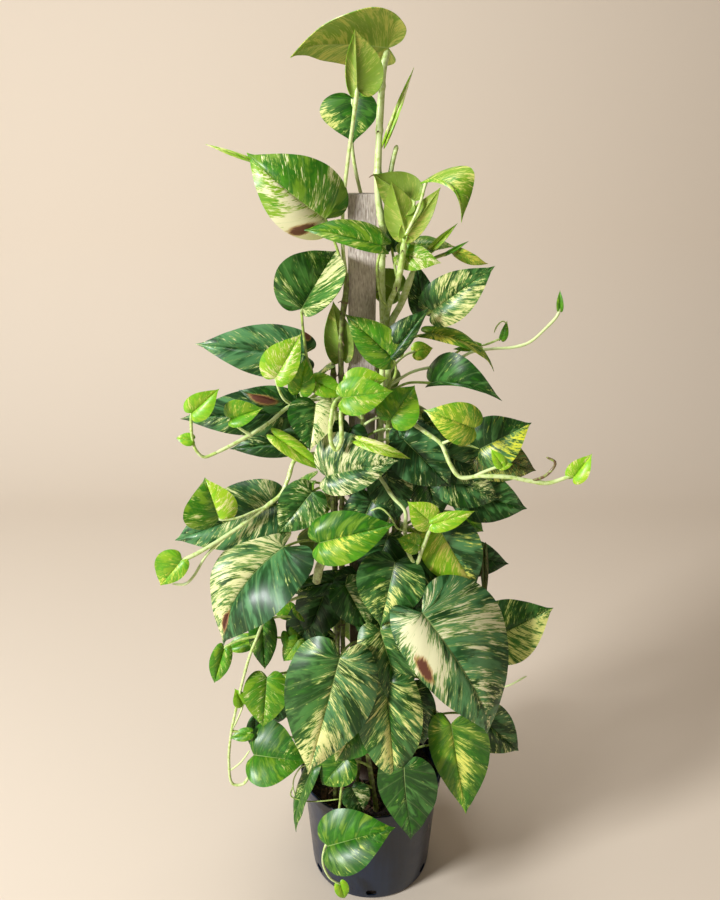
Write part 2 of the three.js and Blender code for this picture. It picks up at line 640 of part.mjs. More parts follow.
      leaf("dark_small", { joint: [277, 700], tip: [279, 724], near: 50, wide: 0.8 }),
      leaf("pair_a", { joint: [288, 632], tip: [299, 656], near: 60, wide: 0.65 }),
      leaf("pair_b", { joint: [298, 640], tip: [283, 662], near: 66, wide: 0.65 }),
      leaf("lit_olive", { joint: [293, 611], tip: [271, 610], near: 40, wide: 0.85 }),
      leaf("olive_right", { joint: [298, 606], tip: [321, 621], near: 50, wide: 0.75 }),
      leaf("dark_flat", { joint: [328, 636], tip: [284, 640], near: 44, wide: 0.4 }),
      leaf("deep_k", { joint: [326, 590], tip: [306, 640], near: 50, out: 6, wide: 0.8 }),
      leaf("deep_j", { joint: [314, 610], tip: [294, 654], near: 50, out: 6, wide: 0.8 }),
    ],
    [
      shoot("hanging_runner", 4.8, [
        [336, 602, 42], [318, 596, 50], [300, 597, 60], [284, 604, 72], [265, 620, 86], [256, 640, 92],
        [250, 655, 93], [245, 672, 93], [237, 705, 90], [231, 735, 86], [229, 762, 84], [233, 784, 84],
        [243, 784, 84], [251, 773, 84],
      ]),
      shoot("rootlet_a", 3.2, [[231, 770, 84], [241, 762, 84], [250, 750, 84]]),
      shoot("rootlet_b", 3.2, [[232, 730, 87], [239, 716, 90], [244, 703, 92]]),
    ],
  ),
  vine(
    "vine_low_front",
    { root: [8, 84], slot: [-10, 58], top: 560 },
    [
      leaf("front_big", {
        joint: [340, 657], tip: [308, 777], near: 150, out: 43, wide: [0.68, 0.68], turn: -12,
        fold: [8, -10], arch: 0,
      }),
      leaf("front_cream", { joint: [365, 715], tip: [335, 763], near: 132, out: 16, wide: 0.8 }),
      leaf("front_narrow", { joint: [386, 680], tip: [395, 786], near: 132, out: 24, wide: 0.55 }),
      leaf("front_marbled", { joint: [380, 630], tip: [404, 710], near: 112, out: 24, wide: 0.62 }),
      leaf("front_dark", { joint: [410, 690], tip: [424, 747], near: 106, out: 16, wide: 0.65 }),
      leaf("front_upper", { joint: [345, 585], tip: [370, 631], near: 84, out: 16, wide: 0.8 }),
      leaf("front_flat", { joint: [338, 580], tip: [286, 592], near: 60, out: 4, wide: 0.45 }),
      leaf("over_rim", {
        joint: [404, 767], tip: [414, 845], near: 158, out: 14, wide: [0.62, 0.48], turn: -20,
        fold: [25, -35], arch: -0.05,
      }),
      leaf("on_pot", {
        joint: [328, 846], tip: [394, 828], near: 170, out: 8, wide: 0.86,
        stalk: [[366, 730, 58], [350, 752, 104], [342, 785, 137], [338, 815, 137], [330, 836, 148]],
      }),
      leaf("shoot_leaf", { joint: [340, 883], tip: [345, 899], near: 140, wide: 0.65, stalk: "none" }),
      leaf("rim_dark", { joint: [352, 788], tip: [364, 812], near: 96, out: 8, wide: 1 }),
      leaf("rim_edge", { joint: [316, 765], tip: [294, 832], near: 112, out: 20, wide: 0.38, turn: 60 }),
      leaf("rim_lime", { joint: [346, 758], tip: [321, 786], near: 122, out: 10, wide: 1 }),
      leaf("deep_l", { joint: [372, 602], tip: [392, 652], near: 76, out: 6, wide: 0.8 }),
      leaf("deep_e", { joint: [357, 574], tip: [346, 620], near: 66, out: 6, wide: 0.8 }),
    ],
    [
      shoot("pot_shoot", 4, [
        [330, 836, 148], [324, 850, 145], [323, 864, 142], [330, 878, 142], [341, 885, 141],
      ]),
      shoot("white_root", 2.6, [
        [316, 765, 112], [303, 766, 116], [295, 776, 118], [293, 786, 119], [295, 796, 119],
      ]),
      shoot("tendril", 2.2, [
        [293, 786, 119], [291, 796, 121], [305, 801, 128], [322, 801, 136], [339, 799, 139],
      ]),
    ],
  ),
  vine(
    "vine_low_right",
    { root: [52, 64], slot: [38, 42], top: 620 },
    [
      leaf("biggest", {
        joint: [422, 613], tip: [495, 736], near: 146, out: 38, wide: [0.96, 0.5], turn: -28,
        fold: [5, -22], arch: 0.08, stalk: [[395, 664, 42], [409, 652, 100], [420, 622, 140]],
      }),
      leaf("right_striped", { joint: [490, 640], tip: [553, 608], near: 56, wide: 0.9 }),
      leaf("right_dark", { joint: [475, 715], tip: [520, 752], near: 60, out: 10, wide: 0.75 }),
      leaf("right_hanging", {
        joint: [451, 724], tip: [467, 817], near: 134, out: 10, wide: [0.6, 0.42], turn: -6,
        fold: [18, -15], arch: -0.05,
      }),
      leaf("deep_m", { joint: [412, 600], tip: [400, 660], near: 56, out: 6, wide: 0.8 }),
    ],
    [
      shoot("twig_right", 3, [
        [395, 655, 42], [440, 664, 62], [480, 684, 80], [503, 687, 88], [527, 676, 90],
      ]),
    ],
  ),
  ...hidden,
];

// Pot, soil and stake

function lathe(profile, sides) {
  const points = profile.map(([r, z]) => new THREE.Vector2(r, z));
  return solid(new THREE.LatheGeometry([...points, points[0].clone()], sides).rotateX(Math.PI / 2));
}

const potRadius = (z) => POT.foot + ((POT.rim - POT.lip - POT.foot) * z) / POT.height;

function pot() {
  const top = POT.height;
  const band = top - POT.band;
  const outside = lathe(
    [
      [0, 0],
      [POT.foot - 1.5, 0],
      [POT.foot, 3],
      [potRadius(band), band],
      [POT.rim - 1, band + 1],
      [POT.rim, top - 2],
      [POT.rim - 1.5, top],
      [potRadius(top) - POT.wall, top],
      [potRadius(POT.floor) - POT.wall, POT.floor],
      [0, POT.floor],
    ],
    POT.sides,
  );
  return Array.from({ length: DRAIN.count }, (_, i) => {
    const hole = new THREE.BoxGeometry(DRAIN.width, 30, DRAIN.height);
    hole.translate(0, -POT.foot, DRAIN.above + DRAIN.height / 2);
    hole.rotateZ((2 * Math.PI * i) / DRAIN.count);
    return solid(hole);
  }).reduce((body, hole) => body.subtract(hole), outside);
}

function soil() {
  const radius = (z) => potRadius(z) - POT.wall - GAP;
  const base = POT.floor + GAP;
  let body = lathe(
    [
      [0, base],
      [radius(base), base],
      [radius(SOIL_TOP - 3), SOIL_TOP - 3],
      [radius(SOIL_TOP) - 5, SOIL_TOP],
      [0, SOIL_TOP],
    ],
    POT.sides,
  );
  const roll = dice(7);
  for (let i = 0; i < CHIPS.count; i++) {
    const spin = i * 2.4;
    const reach = CHIPS.inner + (CHIPS.outer - CHIPS.inner) * Math.sqrt(roll());
    const [x, y] = [reach * Math.cos(spin), reach * Math.sin(spin)];
    if (vines.some(({ root }) => Math.hypot(root[0] - x, -root[1] - y) < 24)) continue;
    const chip = new THREE.BoxGeometry(CHIPS.long * (0.7 + 0.6 * roll()), CHIPS.broad, CHIPS.thick);
    chip.rotateX(0.5 * roll() - 0.25).rotateY(0.5 * roll() - 0.25).rotateZ(6.3 * roll());
    body = body.add(solid(chip.translate(x, y, SOIL_TOP)));
  }
  for (const { root, radius: stemRadius } of vines) {
    const depth = STEM.rooted + GAP;
    const hole = new THREE.CylinderGeometry(stemRadius + STEM.clear, stemRadius + STEM.clear, depth + 20, 8);
    hole.rotateX(Math.PI / 2).translate(root[0], -root[1], SOIL_TOP - depth + (depth + 20) / 2);
    body = body.subtract(solid(hole));
  }
  const slot = new THREE.BoxGeometry(STAKE.width + 2 * GAP, STAKE.thick + 2 * GAP, SOIL_TOP);
  return body.subtract(solid(slot.translate(STAKE.x, 0, STAKE.foot - GAP + SOIL_TOP / 2)));
}

function stake() {
  const tall = STAKE.top - STAKE.foot;
  const plank = new THREE.BoxGeometry(STAKE.width, STAKE.thick, tall);
  return solid(plank.translate(STAKE.x, 0, STAKE.foot + tall / 2));
}

// The plant as one group

const FINISH = {
  pot: { color: 0x2b2f36, roughness: 0.45 },
  soil: { color: 0x3a2c22, roughness: 1 },
  stake: { color: 0x857a72, roughness: 0.9 },
  vine: { color: 0x4f8a35, roughness: 0.4 },
};

function meshOf(name, shape, finish) {
  const mesh = new THREE.Mesh(geometryOf(shape), new THREE.MeshStandardMaterial({ metalness: 0, ...finish }));
  mesh.name = name;
  return mesh;
}

const plant = new THREE.Group();
plant.add(meshOf("pot", pot(), FINISH.pot));
plant.add(meshOf("soil", soil(), FINISH.soil));
plant.add(meshOf("stake", stake(), FINISH.stake));
for (const { name, pieces } of vines) {
  const whole = joined(pieces.map(([, piece]) => piece));
  plant.add(meshOf(name, whole, FINISH.vine));
}
export default plant;
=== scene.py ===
import math

import bmesh
import bpy
import numpy as np
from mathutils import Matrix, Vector, noise


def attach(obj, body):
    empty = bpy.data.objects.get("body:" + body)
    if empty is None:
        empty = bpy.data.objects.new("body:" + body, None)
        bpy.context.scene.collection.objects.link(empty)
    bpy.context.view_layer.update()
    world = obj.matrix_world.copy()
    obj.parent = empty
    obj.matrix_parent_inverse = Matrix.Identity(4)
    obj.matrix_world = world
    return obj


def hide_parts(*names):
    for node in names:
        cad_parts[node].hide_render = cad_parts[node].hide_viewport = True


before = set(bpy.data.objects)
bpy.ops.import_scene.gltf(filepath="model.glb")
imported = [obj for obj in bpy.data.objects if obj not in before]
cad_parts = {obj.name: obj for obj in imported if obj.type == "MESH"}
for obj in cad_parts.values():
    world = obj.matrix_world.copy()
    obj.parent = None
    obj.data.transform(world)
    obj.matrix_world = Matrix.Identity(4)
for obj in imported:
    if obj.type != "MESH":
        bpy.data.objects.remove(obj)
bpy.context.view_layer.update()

MM = 0.001

# Pot, soil and stake
POT = dict(height=220, rim=132, foot=112, wall=2.6, floor=4, lip=4, band=20, heel=7, roll=2.2, sides=168)
DRAIN = dict(count=6, width=20, height=14, above=11, deep=34, round=6)
SOIL_TOP = 192
CHIPS = dict(count=18, inner=42, outer=112, long=21, broad=12, thick=9, turn=2.4)
CRUMBS = dict(count=190, long=5, longer=12)
STAKE = dict(x=-18, width=42, thick=20, foot=60, top=1254)

# Stems and blades
STEM_RADIUS = 4.4
STEM_END = 0.8
SWAY = dict(wide=1.5, long=37, lag=60)  # how far and how often a stem strays between its ties
ROOTED = 14  # how far a stem goes down into its hole in the soil
FIRST_TIE = 150  # from the soil to a stem's first tie
TIE = 180  # from one tie of a stem to the next
NODE = dict(gap=56, swell=0.26, shoot_swell=0.12, long=3.4, scar=1.5)
STALK = dict(radius=2.3, sunk=3, rise=0.42, bend=0.55, lift=0.26, back=0.1, young=0.95, old=0.6)
SHOOT_END = 0.35
BLADE = dict(thick=0.9, wide=0.76, fold=9, arch=0.05, age=0.95, cream=0.3, yellow=0.3)
LOBE_SHARE = 0.4  # the part of the outline whose veins all spring from the stalk's end
VEIN_SWEEP = 1.4  # how far the other side veins sweep forwards
VEINS = 9.5  # side veins along one half's outline
# The highest ages reach the lighter blue-green end of the ramp of greens, which is painted sheen
SHEEN_END_AGE = 1.25  # the age at the end of the ramp of greens
LARGE_BLADE = 160  # the length of a blade that the streaks are counted for
NO_STALK = "none"
WHOLE_TURN = 6.3  # radians, for the turns that dice give
VINE_SEED = 977
LEAF_SEED = 31

# A blade's relief as shares of its length: the margin's waves, each with its rise, how many, shift and how
# steeply it grows outwards, and the least and the further amount that dice give to the hooked tip, the
# puffed halves and the drooping lobes
MARGIN_WAVES = [(0.02, 7, 1, 2), (0.008, 23, 2, 4)]
RELIEF = dict(hook=(0.2, 0.9), puff=(0.03, 0.03), lobe=(0.02, 0.04), quilt=0.008, groove=0.007, keel=0.006)

# The soil's lumps, each with its height, size and seed, and the stake's raised grain, each with its depth,
# how fine it is across and along the plank, and seed
LUMPS = [(2.6, 26, 3), (1.8, 9, 8), (1.2, 4, 5)]
GRAIN = [(0.35, 9, 0.35, 0), (0.25, 22, 0.2, 4)]

# Where the photograph was taken from: the eye, how far it looks down, and its lens in pixels
EYE = np.array([-21.0, -1267.0, 1378.0])
PITCH = math.radians(22.3)
LENS = 855
SENSOR = 36
FRAME = dict(width=720, height=900)
AHEAD = np.array([0, math.cos(PITCH), -math.sin(PITCH)])
UPWARD = np.array([0, math.sin(PITCH), math.cos(PITCH)])
RIGHTWARD = np.array([1.0, 0, 0])
UP = np.array([0, 0, 1.0])


def seen(u, v, near):
    """The point seen at pixel (u, v) that stands `near` millimetres in front of the stake"""
    ray = AHEAD + RIGHTWARD * (u - FRAME["width"] / 2) / LENS + UPWARD * (FRAME["height"] / 2 - v) / LENS
    return EYE + ray * (-near - EYE[1]) / ray[1]


def dice(seed):
    """A repeatable stream of numbers from 0 to 1"""
    state = seed
    while True:
        state = (state * 1664525 + 1013904223) % 2**32
        yield state / 2**32


def unit(vector):
    return vector / np.linalg.norm(vector)


def smooth_line(points, steps):
    """A rounded line through the points, with `steps` places to each span"""
    points = np.asarray(points, float)
    points = np.vstack([2 * points[0] - points[1], points, 2 * points[-1] - points[-2]])
    line = []
    for before, start, end, after in zip(points, points[1:], points[2:], points[3:]):
        gaps = (start - before, end - start, after - end)
        a, b, c = (max(np.linalg.norm(gap) ** 0.5, 1e-3) for gap in gaps)
        leaving = ((start - before) / a - (end - before) / (a + b) + (end - start) / b) * b
        arriving = ((end - start) / b - (after - start) / (b + c) + (after - end) / c) * b
        t = np.linspace(0, 1, steps, endpoint=False)[:, None]
        line.append((2 * t**3 - 3 * t**2 + 1) * start + (t**3 - 2 * t**2 + t) * leaving
                    + (3 * t**2 - 2 * t**3) * end + (t**3 - t**2) * arriving)
    return np.vstack([*line, points[-2]])


def distances(line):
    """How far each place of the line is from its start"""
    return np.concatenate([[0], np.cumsum(np.linalg.norm(np.diff(line, axis=0), axis=1))])


def evenly(line, spacing):
    """The line again, with its places `spacing` apart"""
    gone = distances(line)
    wanted = np.linspace(0, gone[-1], max(4, round(gone[-1] / spacing) + 1))
    return np.stack([np.interp(wanted, gone, column) for column in line.T], axis=1)


def turned(x, y, angle):
    """The point (x, y) turned about the upright axis"""
    return x * math.cos(angle) - y * math.sin(angle), x * math.sin(angle) + y * math.cos(angle)


def ring_walls(rings, count):
    """The faces between rings of `count` points each"""
    faces = []
    for low in range(0, (rings - 1) * count, count):
        for k in range(count):
            after = (k + 1) % count
            faces.append([low + k, low + after, low + count + after, low + count + k])
    return faces


# Finishes. A pattern's scale is its count to a metre, so 160 makes lumps about 6 mm across. A range is
# written as its value, where it starts and ends, and what those two become.


def colour(code):
    """The linear colour of an sRGB hex value"""
    parts = [int(code[i:i + 2], 16) / 255 for i in (1, 3, 5)]
    return (*(p / 12.92 if p <= 0.04045 else ((p + 0.055) / 1.055) ** 2.4 for p in parts), 1)


def add(tree, kind, inputs=(), stops=(), **settings):
    """Add a shader node with its settings, its ramp's stops, and its inputs in their order or by name.

    An input is a value, a hex colour, another node, which gives its first output, or one of its outputs.
    """
    made = tree.nodes.new("ShaderNode" + kind)
    for key, value in settings.items():
        setattr(made, key, value)
    if stops:
        ramp = made.color_ramp.elements
        while len(ramp) < len(stops):
            ramp.new(0.5)
        for element, (position, code) in zip(ramp, stops):
            element.position = position
            element.color = colour(code)
    sockets = [socket for socket in made.inputs if socket.enabled]
    for key, value in inputs.items() if isinstance(inputs, dict) else enumerate(inputs):
        socket = made.inputs[key] if isinstance(key, str) else sockets[key]
        if isinstance(value, bpy.types.Node):
            value = next(output for output in value.outputs if output.enabled)
        if isinstance(value, bpy.types.NodeSocket):
            tree.links.new(value, socket)
        else:
            socket.default_value = colour(value) if isinstance(value, str) else value
    return made


def material(name, build):
    """A material whose node tree `build` fills"""
    made = bpy.data.materials.new(name)
    made.use_nodes = True
    made.node_tree.nodes.clear()
    build(made.node_tree)
    return made


def surface(tree, shade, rough, height, strength, distance, coat=0):
    """The end of a finish: its colour and gloss, with `height` as its relief, `distance` metres deep"""
    bump = add(tree, "Bump", {"Height": height, "Strength": strength, "Distance": distance})
    skin = add(tree, "BsdfPrincipled", {
        "Base Color": shade, "Roughness": rough, "Coat Weight": coat, "Normal": bump,
    })
    add(tree, "OutputMaterial", {"Surface": skin})


# Leaf blade: living tissue under a waxy skin, which gives a satin gloss and lets light through. Each ramp
# of colours runs with age, from lime young leaves to dark old ones; past its darkest stop the greens turn
# a lighter blue-green, which is painted sheen on the large blades. Cream and yellow streaks follow the
# side veins out from the midrib, each with a lime edge.
UPPER = dict(
    greens=[(0, "#8cc91d"), (0.24, "#5da31c"), (0.48, "#2b6c0b"), (0.64, "#17430b"), (0.74, "#123810"),
            (0.84, "#265428"), (0.96, "#4b8450")],
    mids=[(0, "#bcdc2a"), (0.4, "#96c227"), (0.62, "#84ae26"), (0.78, "#4a8524"), (1, "#568a52")],
    edges=[(0, "#c6dc40"), (0.5, "#a3bd45"), (1, "#8aa84f")],
    pale="#ece8c2", yellow="#dfe03c", vein="#a9c276", rough=0.4, through=0.14, coat=0.1,
)
UNDER = dict(
    greens=[(0, "#b2d048"), (0.5, "#86a742"), (1, "#58804a")],
    mids=[(0, "#c6dc5e"), (0.5, "#a0ba52"), (1, "#76965c")],
    edges=[(0, "#d8e06c"), (1, "#b4bc68")],
    pale="#e8e5b0", yellow="#dcd865", vein="#cdd78f", rough=0.5, through=0.5, coat=0.05,
)


def blade_finish(greens, mids, edges, pale, yellow, vein, rough, through, coat):
    """The blade's node tree, from `vein`, `tone` and `mark`, which each point of a blade carries"""

    def build(tree):
        def carried(name):
            vector = add(tree, "Attribute", attribute_name=name).outputs["Vector"]
            return add(tree, "SeparateXYZ", [vector]).outputs

        def streaks(across_share, along_count, shift, detail):
            """Noise drawn out along the side veins, `along_count` streaks to one half of a large blade"""
            across = add(tree, "Math", [out, across_share], operation="MULTIPLY")
            along = add(tree, "Math", [place, along_count], operation="MULTIPLY")
            vector = add(tree, "CombineXYZ", [across, along, add(tree, "Math", [own, shift])])
            return add(tree, "TexNoise", {"Vector": vector, "Scale": 1, "Detail": detail, "Roughness": 0.6,
                                          "Distortion": 0.5})

        side, along, seed = carried("vein")
        age, cream, yellowness = carried("tone")
        spot, dry, size = carried("mark")
        out = add(tree, "Math", [side], operation="ABSOLUTE")
        place = add(tree, "Math", [along, size], operation="MULTIPLY")
        half = add(tree, "Math", [add(tree, "Math", [side], operation="SIGN"), 7], operation="MULTIPLY")
        own = add(tree, "Math", [seed, half])

        broad = streaks(across_share=0.7, along_count=5.5, shift=0, detail=3)
        fine = streaks(across_share=1.9, along_count=42, shift=31, detail=4)
        specks = streaks(across_share=5, along_count=150, shift=57, detail=4)
        drift = streaks(across_share=1.2, along_count=13, shift=83, detail=3)

        # Slow drifts along the veins make parts of a blade look younger or older than it is, and on the
        # oldest blades they spread patches of the lighter blue-green, which is painted sheen
        years = add(tree, "MapRange", [drift, 0.3, 0.7, -0.22, 0.2])
        years = add(tree, "Math", [add(tree, "Math", [years, age]), 1 / SHEEN_END_AGE], operation="MULTIPLY")
        green = add(tree, "ValToRGB", [years], stops=greens)
        mid = add(tree, "ValToRGB", [age], stops=mids)
        edge = add(tree, "ValToRGB", [age], stops=edges)
        light = add(tree, "Mix", [yellowness, pale, yellow], data_type="RGBA")

        # The three sizes of streak make one pattern, which more cream raises past the edges' thresholds
        drawn = add(tree, "Math", [broad, 0.32], operation="MULTIPLY")
        drawn = add(tree, "Math", [fine, 0.36, drawn], operation="MULTIPLY_ADD")
        drawn = add(tree, "Math", [specks, 0.32, drawn], operation="MULTIPLY_ADD")
        shift = add(tree, "Math", [cream, 0.22, -0.132], operation="MULTIPLY_ADD")
        drawn = add(tree, "Math", [drawn, shift])

        lighter = add(tree, "Math", [cream, 0.25, drift], operation="MULTIPLY_ADD")
        patched = add(tree, "MapRange", [lighter, 0.54, 0.67, 0, 0.75])
        # The lime edge of a streak starts a little before its cream
        rim = add(tree, "MapRange", [drawn, 0.463, 0.505])
        core = add(tree, "MapRange", [drawn, 0.494, 0.533])

        counted = add(tree, "Math", [along, VEINS], operation="MULTIPLY")
        nearest = add(tree, "Math", [counted, 0.5], operation="PINGPONG")
        lateral = add(tree, "MapRange", [nearest, 0.0, 0.06, 0.16, 0])
        midrib = add(tree, "MapRange", [out, 0.006, 0.022, 0.7, 0])

        # Where a blade has died back it is tan, then dark brown, with a ragged edge
        ragged = add(tree, "MapRange", [specks, 0, 1, -0.3, 0.3])
        dried = add(tree, "MapRange", [dry, 0, 1, -0.1, 0.75])
        dead = add(tree, "Math", [add(tree, "Math", [dried, spot], operation="MAXIMUM"), ragged])
        tan = add(tree, "MapRange", [dead, 0.3, 0.48, 0, 0.8])
        brown = add(tree, "MapRange", [dead, 0.45, 0.6])

        shade = green
        for share, tint in ((patched, mid), (rim, edge), (core, light), (lateral, vein), (midrib, vein),
                            (tan, "#b98d4e"), (brown, "#6a4030")):
            shade = add(tree, "Mix", [share, shade, tint], data_type="RGBA")

        swell = add(tree, "Math", [fine, 0.35, broad], operation="MULTIPLY_ADD")
        bump = add(tree, "Bump", {"Height": swell, "Strength": 0.5, "Distance": 0.0012})
        skin = add(tree, "BsdfPrincipled", {
            "Base Color": shade, "Roughness": rough, "Specular IOR Level": 0.34, "Coat Weight": coat,
            "Coat Roughness": 0.2, "Normal": bump,
        })
        glow = add(tree, "Mix", [0.35, shade, "#b9d25a"], data_type="RGBA")
        tissue = add(tree, "BsdfTranslucent", {"Color": glow, "Normal": bump})
        both = add(tree, "MixShader", [through, skin, tissue])
        add(tree, "OutputMaterial", {"Surface": both})

    return build


BLADE_UPPER = material("pothos blade upper skin", blade_finish(**UPPER))
BLADE_UNDER = material("pothos blade underside", blade_finish(**UNDER))


# Stem: green living bark, smooth and a little waxy, with streaks of about 6 mm. It is pale on new growth
# and has a brown ring of scar at each node and brown aerial roots.
def stem_finish(tree):
    carried = add(tree, "Attribute", attribute_name="bark").outputs["Vector"]
    scar, young, _ = add(tree, "SeparateXYZ", [carried]).outputs
    place = add(tree, "TexCoord").outputs["Object"]
    lines = add(tree, "TexNoise", {"Vector": place, "Scale": 160, "Detail": 3})
    age = add(tree, "Math", [add(tree, "MapRange", [lines, 0.3, 0.7, -0.25, 0.25]), young])
    green = add(tree, "ValToRGB", [age], stops=[
        (0, "#5b5232"), (0.25, "#6f7a3c"), (0.55, "#97b14f"), (0.8, "#b3cc6c"), (1, "#d0e09c"),
    ])
    brown = add(tree, "MapRange", [add(tree, "Math", [scar, lines], operation="MULTIPLY"), 0.2, 0.45])
    shade = add(tree, "Mix", [brown, green, "#6b5236"], data_type="RGBA")
    surface(tree, shade, 0.4, lines, strength=0.3, distance=0.0006, coat=0.1)


STEM = material("pothos stem skin", stem_finish)


# Pot: polypropylene sheet with black pigment, vacuum formed, so its gloss is satin and it shows faint
# vertical draw lines, about 11 mm apart, and a light bluish film, part dust and part painted sheen, that
# thins out upwards.
def pot_finish(tree):
    place = add(tree, "TexCoord").outputs["Object"]
    lines = add(tree, "Mapping", {"Vector": place, "Scale": (90, 90, 4)})
    drawn = add(tree, "TexNoise", {"Vector": lines, "Scale": 1, "Detail": 4})
    dust = add(tree, "TexNoise", {"Vector": place, "Scale": 22, "Detail": 6, "Roughness": 0.65})
    _, _, height = add(tree, "SeparateXYZ", [place]).outputs
    low = add(tree, "MapRange", [height, 0.0, 0.09, 0.35, 0.1])
    # The film is partly dust and partly painted bluish sheen, thinning out upwards
    dust_and_sheen = add(tree, "Math", [add(tree, "MapRange", [dust, 0.42, 0.68]), low], operation="MULTIPLY")
    plain = add(tree, "ValToRGB", [drawn], stops=[(0.3, "#0a1424"), (0.7, "#122036")])
    shade = add(tree, "Mix", [dust_and_sheen, plain, "#2c4159"], data_type="RGBA")
    rough = add(tree, "MapRange", [dust, 0.3, 0.7, 0.24, 0.42])
    surface(tree, shade, rough, drawn, strength=0.2, distance=0.0004)


POT_PLASTIC = material("vacuum formed polypropylene", pot_finish)


# Soil: peat and composted bark, matt and crumbly, nearly black where damp, in crumbs of about 4 mm and
# clods of about 8 mm.
def soil_finish(tree):
    place = add(tree, "TexCoord").outputs["Object"]
    crumbs = add(tree, "TexNoise", {"Vector": place, "Scale": 240, "Detail": 6, "Roughness": 0.7})
    clods = add(tree, "TexVoronoi", {"Vector": place, "Scale": 130})
    shade = add(tree, "ValToRGB", [crumbs],
                stops=[(0.3, "#17120e"), (0.5, "#2c221b"), (0.62, "#453529"), (0.72, "#6a5441")])
    height = add(tree, "Math", [crumbs, clods])
    surface(tree, shade, 0.95, height, strength=0.9, distance=0.003)


# Bark chips: pine bark, matt, in layers of darker and lighter brown about 10 mm across.
def bark_finish(tree):
    place = add(tree, "TexCoord").outputs["Object"]
    layers = add(tree, "TexNoise", {"Vector": place, "Scale": 95, "Detail": 5, "Distortion": 0.8})
    shade = add(tree, "ValToRGB", [layers],
                stops=[(0.3, "#2b1d14"), (0.5, "#573c29"), (0.65, "#7d5c41"), (0.8, "#a3815f")])
    surface(tree, shade, 0.85, layers, strength=0.8, distance=0.002)


PEAT = material("peat and composted bark", soil_finish)
BARK = material("pine bark chips", bark_finish)


# Stake: sawn softwood, weathered grey, so the early wood has worn back between the harder dark grain
# lines, which stand about 2 mm apart. It is painted darker and browner towards the soil as shade under the
# leaves, with damp stains in patches over that.
def stake_finish(tree):
    place = add(tree, "TexCoord").outputs["Object"]
    lines = add(tree, "Mapping", {"Vector": place, "Scale": (560, 560, 110)})
    grain = add(tree, "TexNoise", {"Vector": lines, "Scale": 1, "Detail": 5, "Distortion": 0.4})
    stains = add(tree, "TexNoise", {"Vector": place, "Scale": 9, "Detail": 5, "Roughness": 0.6})
    _, _, height = add(tree, "SeparateXYZ", [place]).outputs
    grey = add(tree, "ValToRGB", [grain],
               stops=[(0.3, "#9a8c82"), (0.45, "#bcafa4"), (0.6, "#d0c5bb"), (0.75, "#e0d7ce")])
    # Painted shade: darker and browner from 1.1 m down to 0.5 m, with real damp stains added in patches
    shade_and_stains = add(tree, "MapRange", [height, 0.5, 1.1, 0.75, 0])
    shade_and_stains = add(tree, "Math", [shade_and_stains, add(tree, "MapRange", [stains, 0.45, 0.7, 0, 0.5])])
    shade = add(tree, "Mix", {"Factor": shade_and_stains, "A": grey, "B": "#4d382a"}, data_type="RGBA")
    surface(tree, shade, 0.85, grain, strength=0.5, distance=0.001)


WEATHERED_WOOD = material("weathered sawn softwood", stake_finish)


# Backdrop: matt warm grey paper, which throws no gloss back.
def backdrop_finish(tree):
    paper = add(tree, "BsdfPrincipled", {"Base Color": "#d8cab8", "Roughness": 0.9})
    add(tree, "OutputMaterial", {"Surface": paper})


BACKDROP_PAPER = material("matt backdrop paper", backdrop_finish)


# Meshes
SHARP_EDGE = math.radians(42)
SHARP_POT_EDGE = math.radians(38)


def in_scene(name, data):
    """A new object in the scene"""
    made = bpy.data.objects.new(name, data)
    bpy.context.scene.collection.objects.link(made)
    return made


def new_piece(name, points, faces, finishes, node, carried=(), spread=None, which=None):
    """One piece of the plant from points in millimetres.

    `carried` is what each point tells its finish, `spread` the place of each corner on the flat, and
    `which` the finish of each face.
    """
    mesh = bpy.data.meshes.new(name)
    mesh.from_pydata((np.asarray(points) * MM).tolist(), [], faces)
    for finish in finishes:
        mesh.materials.append(finish)
    for key, values in dict(carried).items():
        layer = mesh.attributes.new(key, "FLOAT_VECTOR", "POINT")
        layer.data.foreach_set("vector", np.asarray(values, np.float32).ravel())
    if spread is not None:
        layer = mesh.uv_layers.new(name="OFBake")
        layer.data.foreach_set("uv", np.asarray(spread, np.float32).ravel())
    if which is not None:
        mesh.polygons.foreach_set("material_index", which)
    mesh.polygons.foreach_set("use_smooth", [True] * len(faces))
    mesh.set_sharp_from_angle(angle=SHARP_EDGE)
    piece = in_scene(name, mesh)
    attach(piece, "root")
    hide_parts(node)
    return piece


# Leaf blade


# Half of the outline for a blade one long and two wide: from the notch round the lobe to the tip
HALF_OUTLINE = [
    (0, 0), (0.28, -0.11), (0.62, -0.085), (0.91, 0.07), (1, 0.27),
    (0.89, 0.48), (0.57, 0.7), (0.24, 0.86), (0.07, 0.94), (0, 1),
]
OUTLINE = smooth_line(HALF_OUTLINE, 24)
OUTLINE_SHARE = distances(OUTLINE) / distances(OUTLINE)[-1]

# Where a blade's two faces and its margin lie on the flat, as shares of a square
FLAT = dict(middle=0.24, half=0.225, low=0.03, tall=0.94, behind=0.48, margin=(0.965, 0.985), notch=0.12)

# For blades up to each length: places along half of the outline, and how far out its rows of points stand
NETS = [
    (55, 22, [0, 0.05, 0.16, 0.38, 0.64, 0.87, 1]),
    (105, 34, [0, 0.04, 0.11, 0.27, 0.46, 0.66, 0.85, 1]),
    (160, 44, [0, 0.035, 0.09, 0.21, 0.35, 0.5, 0.66, 0.82, 0.93, 1]),
    (1000, 56, [0, 0.03, 0.075, 0.17, 0.29, 0.42, 0.55, 0.69, 0.83, 0.94, 1]),
]


